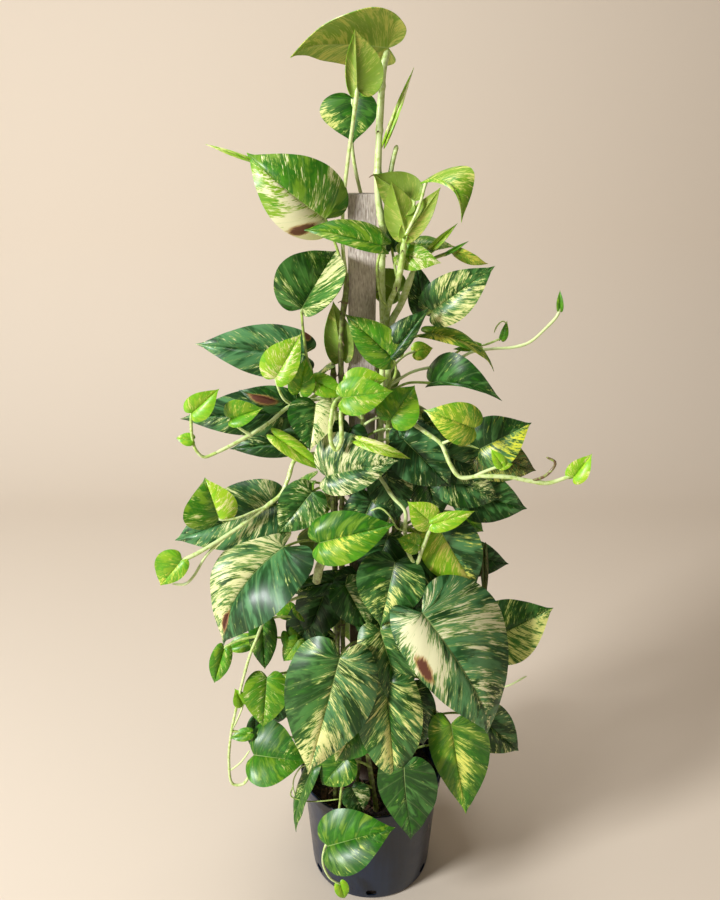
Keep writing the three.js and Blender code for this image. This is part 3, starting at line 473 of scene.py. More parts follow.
def net(stations, shares):
    """Side, share outwards and share of the outline for each point of a blade, its faces and its margin"""
    spots = [(0, 0, 0), (0, 0, 1)]
    rib = [0]
    for j in range(1, stations):
        sprung = j / stations > LOBE_SHARE
        rib.append(len(spots) if sprung else 0)
        if sprung:
            spots.append((0, 0, j / stations))
    faces = []
    margins = []
    for side in (-1, 1):
        rows = [[0] * len(shares)]
        for j in range(1, stations):
            rows.append([rib[j], *range(len(spots), len(spots) + len(shares) - 1)])
            spots += [(side, share, j / stations) for share in shares[1:]]
        rows.append([1] * len(shares))
        for low, high in zip(rows, rows[1:]):
            for ring in zip(low, low[1:], high[1:], high):
                ring = [corner for k, corner in enumerate(ring) if corner != ring[(k + 1) % 4]]
                if len(ring) > 2:
                    faces.append((ring[::side], side))
        margins.append([row[-1] for row in rows])
    return np.array(spots, float), faces, margins[1] + margins[0][-2:0:-1]


def net_piece(stations, shares):
    """The net closed to a thin solid: its spots, their places over a flat blade, its faces, the finish of
    each face, and its spread on the flat"""
    spots, sheet, margin = net(stations, shares)
    count = len(spots)
    faces = [face for face, _ in sheet]
    faces += [[corner + count for corner in face[::-1]] for face, _ in sheet]
    which = [0] * len(sheet) + [1] * len(sheet)
    edge_x = np.interp(spots[:, 2], OUTLINE_SHARE, OUTLINE[:, 0])
    edge_y = np.interp(spots[:, 2], OUTLINE_SHARE, OUTLINE[:, 1])
    spring = np.clip((spots[:, 2] - LOBE_SHARE) / (1 - LOBE_SHARE), 0, 1) ** VEIN_SWEEP
    x = edge_x * spots[:, 1]
    y = spring + (edge_y - spring) * spots[:, 1] ** 1.35
    flat_u = FLAT["middle"] + FLAT["half"] * x * spots[:, 0]
    flat_v = FLAT["low"] + FLAT["tall"] * (y + FLAT["notch"]) / (1 + FLAT["notch"])
    spread = [(flat_u[c], flat_v[c]) for face, _ in sheet for c in face]
    spread += [(FLAT["behind"] + flat_u[c], flat_v[c]) for face, _ in sheet for c in face[::-1]]
    inner, outer = FLAT["margin"]
    for k, a in enumerate(margin):
        b = margin[(k + 1) % len(margin)]
        faces.append([a, a + count, b + count, b])
        which.append(0)
        low, high = (FLAT["low"] + FLAT["tall"] * step / len(margin) for step in (k, k + 1))
        spread += [(inner, low), (outer, low), (outer, high), (inner, high)]
    return spots, x, y, faces, which, spread


NET_PIECES = [(up_to, *net_piece(stations, shares)) for up_to, stations, shares in NETS]


def pair(value):
    """The value for a blade's two halves"""
    return value if isinstance(value, tuple) else (value, value)


def blade_frame(joint, tip, turn=0, viewer=EYE):
    """The blade's own frame: from the stalk to the tip, and the way that its upper face looks"""
    length = np.linalg.norm(tip - joint)
    along = (tip - joint) / length
    face = viewer - (joint + tip) / 2
    face = unit(face - along * (face @ along))
    roll = math.radians(turn)
    face = face * math.cos(roll) + np.cross(along, face) * math.sin(roll)
    return along, face, np.cross(along, face), length


def between(least, further, roll):
    """A share of a blade's length from the dice: the least amount and some of the further one"""
    return least + further * next(roll)


def blade(name, node, joint, axes, seed, wide=BLADE["wide"], fold=BLADE["fold"], arch=BLADE["arch"],
          age=BLADE["age"], cream=BLADE["cream"], yellow=BLADE["yellow"], dry=0, spot=(0, 0, 1, 1),
          patches=()):
    """A leaf blade, whose two halves may each have their own width, fold, age, cream and yellow.

    `spot` says where it has died back and `patches` where it has more cream, as (side, place, reach
    outwards, reach along) and for a patch how much more. The side runs from -1 at the left margin to 1 at
    the right one, and the place from 0 at the stalk to 1 at the tip.
    """
    along, face, across, length = axes
    _, spots, x, y, faces, which, spread = next(kind for kind in NET_PIECES if length <= kind[0])
    side, share, place = spots.T
    roll = dice(seed)
    right = side > 0
    reach = x * np.where(right, pair(wide)[1], pair(wide)[0]) * length / 2
    folds = [math.tan(math.radians(f)) for f in pair(fold)]
    phase = WHOLE_TURN * next(roll)
    lift = reach * np.where(right, folds[1], folds[0])
    lift += 4 * arch * length * y * (1 - y)
    flank = np.where(right, 0, 2.4)
    for rise, many, shift, steep in MARGIN_WAVES:
        wave = np.sin(many * place + shift * phase + flank)
        lift += rise * length * share**steep * wave * (1 - place**4)
    lift -= between(*RELIEF["hook"], roll) * length * np.clip(y - 0.7, 0, 1) ** 2
    puff = between(*RELIEF["puff"], roll) * length * np.sin(math.pi * share**0.8) * (1 - place**3)
    lobe = between(*RELIEF["lobe"], roll) * length * share**3 * (1 - place)
    lift += (puff - lobe) * np.minimum(1, 3 * place)
    spread_out = np.minimum(1, 4 * np.hypot(reach / length, y))
    quilt = np.abs(np.sin(math.pi * VEINS * place)) ** 0.6 - 0.6
    lift += RELIEF["quilt"] * length * quilt * share**0.5 * (1 - share**5) * spread_out
    groove = np.exp(-((share / 0.05) ** 2)) * (1 - place**3)
    lift -= RELIEF["groove"] * length * groove * spread_out
    sheet = joint + across * (np.sign(side) * reach)[:, None] + along * (y * length)[:, None]
    sheet += face * lift[:, None]

    normals = np.zeros_like(sheet)
    for f in faces[:which.index(1)]:
        corner = sheet[f[0]]
        normals[f] += np.cross(sheet[f[1]] - corner, sheet[f[-1]] - corner)
    normals /= np.maximum(np.linalg.norm(normals, axis=1), 1e-9)[:, None]
    keel = RELIEF["keel"] * length * groove * np.minimum(1, spread_out)
    under = BLADE["thick"] / 2 + keel
    points = np.vstack([sheet + normals * BLADE["thick"] / 2, sheet - normals * under[:, None]])

    signed = side * share
    here = [np.where(right, pair(value)[1], pair(value)[0]) for value in (age, cream, yellow)]
    for patch_side, patch_place, patch_out, patch_along, more in patches:
        far = ((signed - patch_side) / patch_out) ** 2 + ((place - patch_place) / patch_along) ** 2
        here[1] = here[1] + more * np.exp(-far)
    far = ((signed - spot[0]) / spot[2]) ** 2 + ((place - spot[1]) / spot[3]) ** 2
    died = np.exp(-far) if spot[1] else 0 * far
    own = np.full_like(side, 40 * next(roll))
    size = math.sqrt(length / LARGE_BLADE)
    carried = {
        "vein": np.stack([signed, place, own], axis=1),
        "tone": np.stack(here, axis=1),
        "mark": np.stack([died, 0 * far + dry, 0 * far + size], axis=1),
    }
    carried = {key: np.vstack([values, values]) for key, values in carried.items()}
    return new_piece(name, points, faces, [BLADE_UPPER, BLADE_UNDER], node, carried, spread, which)


# Stems, stalks and shoots


def bar(line, radii, sides=12):
    """A round bar along the line, a ring to each place, as points and faces"""
    ahead = np.gradient(line, axis=0)
    side = np.cross(ahead[0], UP)
    if np.linalg.norm(side) < 0.2 * np.linalg.norm(ahead[0]):
        side = np.cross(ahead[0], RIGHTWARD)
    turns = np.linspace(0, 2 * math.pi, sides, endpoint=False)[:, None]
    points = []
    for place, way, radius in zip(line, ahead, radii):
        way = unit(way)
        side = unit(side - way * (side @ way))
        points.append(place + radius * (np.cos(turns) * side + np.sin(turns) * np.cross(way, side)))
    last = (len(line) - 1) * sides
    ends = [list(range(sides))[::-1], list(range(last, last + sides))]
    return np.vstack(points), ends + ring_walls(len(line), sides)


class Growth:
    """All the stems, stalks and shoots of one vine, gathered for one mesh"""

    def __init__(self):
        self.points, self.faces, self.bark = [], [], []
        self.count = 0

    def put(self, line, radii, scars, young, sides=12):
        points, faces = bar(line, radii, sides)
        self.points.append(points)
        self.faces += [[corner + self.count for corner in face] for face in faces]
        bark = np.stack([scars, 0 * scars + young, 0 * scars], axis=1)
        self.bark.append(np.repeat(bark, sides, axis=0))
        self.count += len(points)

    def stem(self, points, radius, young, end, roll, roots=False, brown=0):
        """A stem that swells at its nodes and narrows to `end` of its radius, with roots if it climbs"""
        line = evenly(smooth_line(points, 16), 3.2)
        gone = distances(line)
        node = (gone + NODE["gap"] * next(roll)) % NODE["gap"] - NODE["gap"] / 2
        swell = NODE["swell"] if roots else NODE["shoot_swell"]
        radii = radius * (1 + swell * np.exp(-((node / NODE["long"]) ** 2)) + 0.05 * np.sin(gone / 11))
        radii *= end + (1 - end) * np.clip((gone[-1] - gone) / (5 * radius), 0, 1) ** 0.6
        radii[-1] *= 0.4
        scars = np.exp(-((node / NODE["scar"]) ** 2)) * (1 if young < 0.5 else 0.4)
        self.put(line, radii, np.maximum(scars, brown), young)
        if roots:
            for k in np.flatnonzero(np.diff(np.sign(node)) > 0):
                angle = WHOLE_TURN * next(roll)
                out = np.array([math.cos(angle), math.sin(angle), -0.3 + 0.4 * next(roll)])
                long = radius + 5 + 9 * next(roll)
                nub = np.array([line[k], line[k] + out * long * 0.6, line[k] + out * long + (0, 0, -3)])
                nub = smooth_line(nub, 4)
                self.put(nub, np.linspace(1.5, 0.5, len(nub)), np.ones(len(nub)), young, 6)

    def stalk(self, points, roll, young, stout):
        """A leaf stalk: a little thicker where it springs and where it bends into the blade"""
        line = evenly(smooth_line(points, 10), 4)
        share = np.linspace(0, 1, len(line))
        radii = STALK["radius"] * stout * (0.9 + 0.35 * np.exp(-((share / 0.12) ** 2)))
        radii *= 1 + 0.2 * np.exp(-(((share - 0.93) / 0.05) ** 2))
        radii[-1] *= 0.3
        self.put(line, radii, 0 * share, young + 0.15 * (next(roll) - 0.5), 10)

    def piece(self, name, node):
        carried = {"bark": np.vstack(self.bark)}
        return new_piece(name, np.vstack(self.points), self.faces, [STEM], node, carried)


def point_at(points, z):
    """The point of a stem at height z, or a point near its end if the stem is shorter"""
    above = next((k for k, point in enumerate(points) if point[2] >= z), 0)
    if above < 1:
        return points[-1] * 0.9 + points[-2] * 0.1
    low, high = points[above - 1], points[above]
    return low + (high - low) * (z - low[2]) / (high[2] - low[2])


def stalk_points(joint, axes, stem, stalk, arch):
    """Where a blade's stalk goes: through the pixels in `stalk`, or else rising outwards from the stem"""
    along, face, _, _ = axes
    inside = joint + unit(along + face * 4 * arch) * STALK["sunk"] - face * 0.6
    if stalk:
        return [*(seen(*place) for place in stalk), joint, inside]
    axis = stem[1]
    reach = math.hypot(joint[0] - axis[0], joint[1] - axis[1])
    root = point_at(stem, joint[2] - STALK["rise"] * reach)
    span = np.linalg.norm(joint - root)
    middle = root + (joint - root) * STALK["bend"]
    middle = middle + UP * STALK["lift"] * span - face * STALK["back"] * span
    share = np.linspace(0, 1, 7)[:, None]
    return [*((1 - share) ** 2 * root + 2 * share * (1 - share) * middle + share**2 * inside)]


def leaf(name, joint, tip, **form):
    return dict(name=name, joint=joint, tip=tip, **form)


def shaded(name, joint, tip, near, cream=0.12):
    """A dark blade deep in the crowd, where the photograph shows only parts of blades"""
    return leaf(name, joint, tip, near=near, out=6, wide=0.8, cream=cream)


def shoot(name, thick, through, end=SHOOT_END, young=0.8, brown=0):
    return dict(name=name, thick=thick, through=through, end=end, young=young, brown=brown)


def grow_leaf(growth, node, stem, roll, seed, name, joint, tip, near=None, out=0, turn=0, viewer=EYE,
              stalk=None, stout=1, **form):
    """A leaf of the vine: its stalk, unless it sits on a stem, and its blade"""
    if near is not None:
        joint, tip = seen(*joint, near), seen(*tip, near + out)
    axes = blade_frame(joint, tip, turn, viewer)
    if stalk != NO_STALK:
        places = stalk_points(joint, axes, stem, stalk, form.get("arch", BLADE["arch"]))
        tender = min(pair(form.get("age", BLADE["age"]))) < 0.5 or stout > 1
        growth.stalk(places, roll, STALK["young"] if tender else STALK["old"], stout)
    blade(f"leaf_{name}", node, joint, axes, seed, **form)


def vine(name, root, slot, top, leaves, route=(), radius=STEM_RADIUS, young=0.25, shoots=()):
    """A vine: its stem from the soil to its last route point, with its leaves and its side shoots"""
    heights = [SOIL_TOP + FIRST_TIE]
    while heights[-1] + TIE < top:
        heights.append(heights[-1] + TIE)
    stem = [np.array([root[0], -root[1], SOIL_TOP + 2.0])]
    for z in [*heights, top]:
        sway = [SWAY["wide"] * math.sin(at / SWAY["long"] + root[0]) for at in (z, z + SWAY["lag"])]
        stem.append(np.array([slot[0] + sway[0], sway[1] - slot[1], z]))
    stem += [seen(*place) for place in route]
    VINES.append(name)
    seed = VINE_SEED * len(VINES)
    roll = dice(seed)
    growth = Growth()
    growth.stem([stem[0] - UP * ROOTED, *stem], radius, young, STEM_END, roll, roots=True)
    for number, row in enumerate(leaves):
        grow_leaf(growth, name, stem, roll, seed + LEAF_SEED * number, **row)
    for row in shoots:
        places = [seen(*place) for place in row["through"]]
        growth.stem(places, row["thick"] / 2, row["young"], row["end"], roll, brown=row["brown"])
    growth.piece(name.replace("vine", "stems"), name)


VINES = []

# Each leaf is given by the pixels of its joint, where the stalk ends, and of its tip, and by `near`, how
# many millimetres the joint stands in front of the stake. `out` is how much nearer the tip comes, `wide`
# the width over the length, `turn` the degrees that the blade is rolled about its midrib, `fold` the
# degrees that its halves rise, and `arch` how far the midrib bulges over its length. `stalk`, `route` and
# `through` are pixels with how near each place stands, and `stout` thickens a stalk.
# A leaf's looks are `age`, from 0 for a lime young one to the end of the ramp of greens, where the
# highest ages give a lighter blue-green that is painted sheen, `cream`, how much of it is streaked,
# `yellow`, how yellow the streaks are, and `dry`, how far it has died. Two values in brackets are for its
# two halves. Seen on the upper face, the half to the left of the way from joint to tip comes first. A
# shoot's `young` runs from old bark to pale new growth, and `brown` is for scarred bark.
vine("vine_crown", root=(62, -8), slot=(13, 3), top=1120, route=[(382, 262, 5), (383, 232, 16),
     (378, 195, 20), (379, 140, 18), (381, 100, 14), (384, 64, 12), (388, 50, 11)], radius=4.8,
     young=1, leaves=[
    leaf("arching", (388, 48), (289, 49), near=11, out=30, wide=(1.25, 1.1), turn=120, fold=(2, 10),
         stalk=NO_STALK, age=0.42, cream=0.5, yellow=0.8),
    leaf("heart", (353, 98), (353, 143), near=-8, out=3, wide=(1.2, 1.6), turn=12, fold=3, arch=0.03,
         stalk=[(382, 270, 3), (381, 246, -16), (372, 228, -21), (362, 198, -20), (352, 146, -14)],
         stout=1.3, age=0.78, cream=0.1, yellow=0.6, patches=[(0.85, 0.55, 0.35, 0.25, 0.5),
         (-0.7, 0.8, 0.4, 0.15, 0.4)]),
    leaf("spike", (386, 140), (414, 67), near=18, out=-8, wide=0.09, fold=50, stalk=NO_STALK, age=0.25,
         cream=0.55, yellow=0.2),
], shoots=[
    shoot("stub", thick=7, through=[(383, 240, 12), (387, 200, 14), (392, 165, 10), (397, 145, 8)], end=1,
          young=0.9),
])
vine("vine_upper_left", root=(-78, 26), slot=(-50, 16), top=1060, route=[(346, 290, 14),
     (346, 272, 14)], leaves=[
    leaf("hood", (357, 90), (355, 28), near=48, out=8, wide=(0.98, 0.4), turn=180, fold=12,
         stalk=[(346, 278, 14), (343, 250, 10), (343, 208, 12), (348, 160, 30), (354, 115, 44)],
         stout=1.3, age=0.35, cream=0.35, yellow=0.9),
    leaf("cream", (325, 219), (246, 153), near=27, out=2, wide=(0.68, 0.86), turn=-9, fold=(3, -12),
         arch=0.15, stalk=[(347, 290, 14), (341, 262, 16), (334, 240, 18)], age=(0.5, 0.65),
         cream=(0.45, 0.25), yellow=0.08, spot=(-0.62, 0.45, 0.42, 0.045),
         patches=[(-0.75, 0.38, 0.75, 0.2, 1)]),
    leaf("cream_tail", (251, 160), (205, 144), near=29, wide=0.1, fold=40, stalk=NO_STALK, age=0.3,
         cream=0.5, yellow=0.5),
    leaf("round", (302, 309), (337, 249), near=34, out=-42, wide=(1.1, 0.75), turn=-4, fold=(20, 70),
         arch=0.14, stalk=[(313, 384, 32), (306, 352, 34)], age=0.85, cream=(0.26, 0.5)),
    leaf("olive", (341, 357), (333, 300), near=17, wide=0.5, turn=180, fold=2, arch=0,
         stalk=[(341, 395, 16), (342, 375, 17)], age=0.5, yellow=0.8),
    # Its age above 1 gives the lighter blue-green greens, which are painted sheen
    leaf("far_left", (303, 354), (195, 344), near=10, out=20, wide=0.5, stalk=[(313, 384, 32),
         (311, 368, 18)], age=1.12, cream=0.38, yellow=0.2, spot=(0.85, 0.33, 0.2, 0.05)),
    leaf("pale", (276, 378), (301, 334), near=62, out=-10, wide=(0.9, 0.6), fold=(5, 20),
         stalk=[(292, 405, 46), (283, 398, 54)], age=0.25, cream=0.42, yellow=0.4,
         patches=[(-0.2, 0.35, 0.5, 0.25, 0.35)]),
    leaf("small_olive", (300, 392), (306, 358), near=40, wide=0.75, fold=16, stalk=[(305, 402, 42)],
         age=0.4, cream=0.25, yellow=0.9),
    leaf("lime_blade", (314, 381), (346, 396), near=35, wide=0.65, stalk=NO_STALK, age=0.25, cream=0.25,
         yellow=0.5),
    # Its age above 1 on the right half gives the lighter blue-green greens, which are painted sheen
    leaf("dark_wide", (286, 409), (179, 419), near=14, out=20, wide=0.44, stalk=[(320, 393, 30),
         (302, 404, 20)], age=(0.95, 1.05), cream=0.26, yellow=0.2),
    leaf("lower_dark", (300, 440), (229, 449), near=0, out=10, wide=0.42, age=0.9, cream=0.15,
         yellow=0.2),
    leaf("patched", (296, 406), (238, 390), near=24, out=6, wide=0.5, stalk=[(320, 392, 30)], age=0.9,
         cream=0.15, spot=(-0.3, 0.78, 0.6, 0.14)),
    leaf("runner_end", (192, 413), (219, 389), near=98, wide=0.72, fold=18, stalk=NO_STALK, age=0.2,
         yellow=0.6),
    leaf("runner_cup", (231, 419), (263, 408), near=84, wide=(1, 0.6), fold=30, stalk=[(250, 435, 73),
         (238, 427, 80)], age=0.35, yellow=0.8),
    leaf("runner_torn", (193, 440), (176, 438), near=98, wide=0.8, stalk=NO_STALK, age=0.25, yellow=0.9),
], shoots=[
    shoot("spur", thick=7, through=[(340, 430, 16), (334, 408, 24), (320, 392, 30), (312, 382, 34)],
          end=1),
    shoot("runner", thick=5.8, through=[(332, 404, 25), (322, 399, 34), (305, 402, 42), (290, 406, 47),
          (270, 422, 60), (250, 435, 72), (230, 446, 84), (212, 455, 92)], young=0.95),
    shoot("runner_turn", thick=4.6, through=[(216, 453, 91), (204, 457, 95), (196, 450, 98),
          (192, 436, 98), (191, 412, 98)]),
])
vine("vine_upper_right", root=(66, 30), slot=(22, 30), top=1010, route=[(386, 322, 30), (389, 305, 32),
     (397, 285, 36), (402, 260, 40), (405, 236, 42)], young=0.8, leaves=[
    leaf("across", (381, 246), (303, 229), near=48, out=-6, wide=(0.3, 0.5), turn=30,
         stalk=[(389, 308, 32), (382, 300, 38), (377, 268, 46)], age=0.6, yellow=0.6),
    leaf("sail", (414, 201), (373, 174), near=38, out=-6, wide=0.85, turn=180, stalk=[(405, 238, 42),
         (411, 218, 30)], age=0.35, yellow=0.9),
    leaf("cupped", (406, 234), (391, 180), near=44, out=4, wide=0.62, turn=180, fold=20, stalk=NO_STALK,
         age=0.2, cream=0.4, yellow=0.8),
    leaf("drooping", (427, 181), (463, 220), near=36, out=37, wide=(1.15, 0.12), turn=-54, fold=(20, 7),
         arch=0.29, stalk=[(405, 237, 42), (419, 207, 46)], age=0.45, cream=0.42, yellow=0.7),
    leaf("pale_green", (399, 254), (441, 263), near=22, out=26, wide=0.62, stalk=[(400, 272, 34)],
         age=0.45, cream=0.55, yellow=0.2),
    leaf("streaked_back", (408, 249), (456, 246), near=2, wide=0.7, turn=-60, stalk=[(414, 272, 20)],
         age=0.6, cream=0.45, yellow=0.4),
    leaf("rolled", (428, 252), (458, 223), near=16, wide=0.2, fold=45, stalk=[(414, 268, 22)], age=0.2,
         cream=0.4, yellow=0.4),
    leaf("bud", (446, 254), (469, 241), near=8, wide=0.16, fold=45, stalk=[(414, 268, 22),
         (430, 260, 12)], age=0.5, cream=0.1, yellow=0.9),
    leaf("small_tan", (456, 251), (488, 265), near=4, wide=0.4, turn=30, stalk=[(414, 269, 22),
         (436, 257, 8)], age=0.5, cream=0.5, yellow=0.9, dry=0.5),
    leaf("backlit", (398, 292), (366, 272), near=-18, wide=0.95, turn=180, stalk=[(391, 322, 28),
         (399, 305, 0)], age=0.5, cream=0.15, yellow=0.6),
    leaf("between", (392, 248), (394, 211), near=-20, wide=0.5, stalk=[(398, 283, 36), (394, 262, -6)],
         age=1, cream=0.05, yellow=0.2),
    leaf("big_streaked", (432, 311), (495, 266), near=30, out=20, wide=0.62, fold=12,
         stalk=[(388, 330, 30), (410, 322, 30)], age=0.88, cream=(0.36, 0.5), yellow=0.4),
    leaf("blue_dark", (424, 312), (416, 262), near=8, wide=0.55, stalk=[(388, 332, 29), (408, 326, 14)],
         cream=0.18, yellow=0.2),
    leaf("twisted", (430, 334), (497, 368), near=18, out=-10, wide=0.28, turn=-50, fold=20, arch=0.11,
         age=0.6, cream=0.45, yellow=0.9, dry=0.3),
    leaf("tan_round", (414, 352), (433, 348), near=-10, wide=1, age=0.3, cream=0.5, yellow=0.9),
    leaf("hooked", (431, 383), (502, 400), near=8, out=50, wide=(0.66, 0.1), turn=-18, fold=(35, 0),
         arch=0.27, stalk=[(389, 392, 30), (408, 383, 18)], age=0.85, cream=0.12, yellow=0.6),
    leaf("thin_runner_bud", (560, 310), (560, 290), near=-8, wide=0.35, fold=30, stalk=NO_STALK, age=0.5,
         cream=0.1, yellow=0.8),
    leaf("hook_leaf", (501, 339), (507, 321), near=-14, wide=(0.25, 0.6), stalk=NO_STALK, age=0.5,
         cream=0.15, yellow=0.8),
    leaf("twig_leaf_a", (480, 346), (453, 339), near=-14, wide=0.22, stalk=NO_STALK, age=0.4, yellow=0.5),
    leaf("twig_leaf_b", (474, 348), (453, 349), near=-14, wide=0.3, stalk=NO_STALK, age=0.4, yellow=0.5),
    leaf("cupped_wing", (407, 235), (441, 187), near=46, wide=0.4, turn=180, stalk=NO_STALK, age=0.2,
         cream=0.4, yellow=0.8),
], shoots=[
    shoot("second_stem", thick=10.5, through=[(386, 336, 30), (392, 320, 28), (401, 304, 26),
          (408, 285, 24), (415, 266, 20)], young=0.95),
    shoot("thin_runner", thick=4.6, through=[(389, 386, 30), (412, 372, 6), (436, 366, -8),
          (458, 359, -9), (472, 352, -8), (490, 349, -8), (515, 347, -8), (530, 342, -8), (545, 329, -8),
          (557, 316, -8), (561, 306, -8)], young=1.1),
    shoot("twig", thick=3.4, through=[(446, 364, -9), (456, 353, -14), (466, 348, -14), (484, 345, -14),
          (502, 338, -14)]),
    shoot("hook", thick=2.2, through=[(507, 324, -14), (503, 321, -14), (497, 326, -14),
          (494, 333, -14)]),
])
vine("vine_centre", root=(-30, 72), slot=(-18, 38), top=930, leaves=[
    leaf("wing_left", (392, 357), (345, 314), near=58, out=-4, wide=0.62, fold=8, stalk=[(362, 416, 38),
         (385, 390, 50), (396, 372, 56)], age=0.6, cream=0.32, yellow=0.6),
    leaf("wing_right", (390, 355), (429, 308), near=56, out=4, wide=(0.6, 0.3), stalk=NO_STALK, age=0.9,
         cream=0.22),
    leaf("glossy", (343, 398), (393, 391), near=88, out=10, arch=0.06, age=0.38, yellow=0.5),
    leaf("glossy_behind", (350, 390), (388, 378), near=68, wide=(1, 0.4), age=0.2, yellow=0.6),
    leaf("yellow_patch", (391, 420), (415, 385), near=76, out=-20, wide=1.05, fold=12, age=(0.5, 0.4),
         cream=(0.15, 0.3), yellow=0.8),
    leaf("hanging_cream", (316, 404), (310, 451), near=52, out=40, wide=(0.85, 1.12), age=0.85,
         cream=(0.8, 0.25)),
    leaf("narrow_lime", (275, 436), (326, 472), near=60, wide=0.3, fold=20, stalk=[(361, 458, 38),
         (330, 460, 48), (300, 456, 54), (282, 448, 57)], age=0.2, cream=0.42, yellow=0.7),
    leaf("arched_young", (359, 441), (411, 459), near=92, wide=0.22, fold=30, arch=0.22, age=0.15,
         cream=0.5, yellow=0.4),
    leaf("marbled", (326, 476), (398, 461), near=80, out=20, wide=(1.08, 0.6), cream=0.42, yellow=0.2),
    leaf("small_blue", (398, 430), (403, 454), near=58, wide=0.8, age=1, cream=0.15, yellow=0.2),
    leaf("big_blue", (404, 440), (452, 488), near=62, out=15, wide=0.85, age=1, cream=0.14, yellow=0.2),
    leaf("lime_cup", (431, 522), (408, 502), near=100, wide=0.95, stalk=NO_STALK, age=0.2, cream=0.4,
         yellow=0.7),
    leaf("lime_flat", (433, 524), (475, 511), near=104, wide=(0.36, 0.5), stalk=NO_STALK, age=0.2,
         cream=0.35, yellow=0.6),
    leaf("olive_nub", (418, 545), (397, 539), near=100, out=6, wide=0.95, stalk=[(409, 556, 94)], age=0.4,
         yellow=0.9),
    leaf("bright", (319, 543), (395, 524), near=128, out=4, wide=0.68, age=(0.66, 0.5), cream=(0.14, 0.1),
         yellow=0.9, patches=[(0.25, 0.62, 0.5, 0.24, 0.38)]),
    leaf("yellow_streaked", (395, 562), (380, 628), near=92, out=30, wide=1, age=0.88, cream=(0.26, 0.3),
         yellow=0.6, patches=[(-0.3, 0.8, 0.3, 0.2, 0.5)]),
    leaf("behind_streaked", (420, 556), (416, 612), near=60, out=10, wide=0.6, cream=0.2, yellow=0.4),
    shaded("deep_a", (350, 428), (334, 478), near=48),
    shaded("deep_b", (386, 470), (398, 522), near=48, cream=0.25),
    shaded("deep_c", (372, 500), (350, 548), near=52),
    shaded("deep_d", (388, 536), (368, 590), near=52, cream=0.2),
], shoots=[
    shoot("branch", thick=6, through=[(352, 455, 38), (372, 466, 52), (383, 482, 64), (393, 497, 76),
          (405, 511, 86), (405, 530, 92), (408, 552, 94), (416, 564, 95), (422, 550, 98),
          (432, 524, 104)], young=0.95),
    shoot("curl", thick=3, through=[(405, 531, 92), (397, 528, 88), (390, 516, 82), (380, 508, 78),
          (370, 511, 74)]),
    shoot("sheath", thick=6.4, through=[(361, 396, 38), (336, 401, 78), (331, 420, 92), (331, 442, 98),
          (336, 450, 98), (341, 442, 98), (342, 408, 84), (361, 400, 38)], end=1),
    shoot("stump", thick=14, through=[(362, 546, 38), (338, 553, 60), (322, 562, 78), (316, 584, 84)],
          end=1, young=1.2, brown=0.5),
])
vine("vine_mid_right", root=(86, 4), slot=(42, 12), top=945, leaves=[
    leaf("lime_striped", (474, 428), (424, 410), near=92, out=5, wide=0.78, arch=0.12,
         stalk=[(441, 444, 79), (457, 437, 86)], age=0.4, cream=0.42, yellow=0.9),
    leaf("centre_dark", (424, 420), (457, 441), near=44, wide=0.6, stalk=[(402, 428, 12), (413, 419, 30)],
         age=0.9, cream=0.28),
    leaf("tan_striped", (480, 449), (531, 423), near=50, out=10, wide=0.95, age=0.9, cream=(0.1, 0.5),
         yellow=1, dry=0.35),
    leaf("orange_brown", (480, 453), (537, 471), near=34, out=10, wide=0.78, age=0.9, yellow=0.8,
         dry=0.5),
    leaf("plain_dark", (462, 492), (528, 509), near=26, out=10, wide=0.75, age=0.9, cream=0.14),
    leaf("olive_low", (456, 512), (484, 532), near=20, wide=0.7, age=0.6, cream=0.2, yellow=0.8),
    leaf("dark_tip", (460, 556), (509, 564), near=20, out=10, wide=0.75, cream=0.1),
    leaf("half_lime", (440, 530), (476, 590), near=66, out=10, wide=0.8, age=(1, 0.2), cream=(0.25, 0.4),
         yellow=0.8, patches=[(0.1, 0.85, 0.6, 0.2, 0.3)]),
    leaf("dry_strip", (484, 550), (485, 602), near=44, wide=0.13, fold=30, age=0.9, cream=0.1, yellow=0.8,
         dry=0.5),
    leaf("right_runner_end", (573, 478), (592, 454), near=112, wide=0.72, fold=24, stalk=NO_STALK,
         age=0.1, yellow=0.5),
    leaf("right_runner_leaf", (503, 466), (491, 449), near=107, wide=0.6, stalk=NO_STALK, age=0.1,
         cream=0.2, yellow=0.5),
    leaf("right_runner_scale", (500, 467), (513, 464), near=107, wide=0.6, stalk=NO_STALK, age=0.2,
         yellow=0.5),
    shaded("deep_f", (440, 452), (492, 478), near=32, cream=0.3),
    shaded("deep_g", (444, 476), (500, 500), near=40, cream=0.25),
    shaded("deep_h", (424, 470), (440, 520), near=34),
    shaded("deep_i", (436, 560), (452, 620), near=36),
], shoots=[
    shoot("right_runner", thick=6.4, through=[(402, 414, 12), (405, 418, 56), (415, 425, 68),
          (428, 434, 74), (441, 444, 80), (450, 464, 92), (460, 477, 98), (480, 476, 104),
          (508, 477, 110), (530, 481, 112), (548, 483, 112), (565, 478, 112), (574, 475, 112)],
          young=0.95),
    shoot("right_runner_fork", thick=4.4, through=[(472, 477, 102), (486, 471, 105), (502, 465, 107)],
          young=1.2),
    shoot("right_runner_root", thick=4.4, through=[(532, 481, 112), (545, 476, 112), (554, 467, 112),
          (555, 462, 112), (546, 457, 112)], brown=0.8),
])
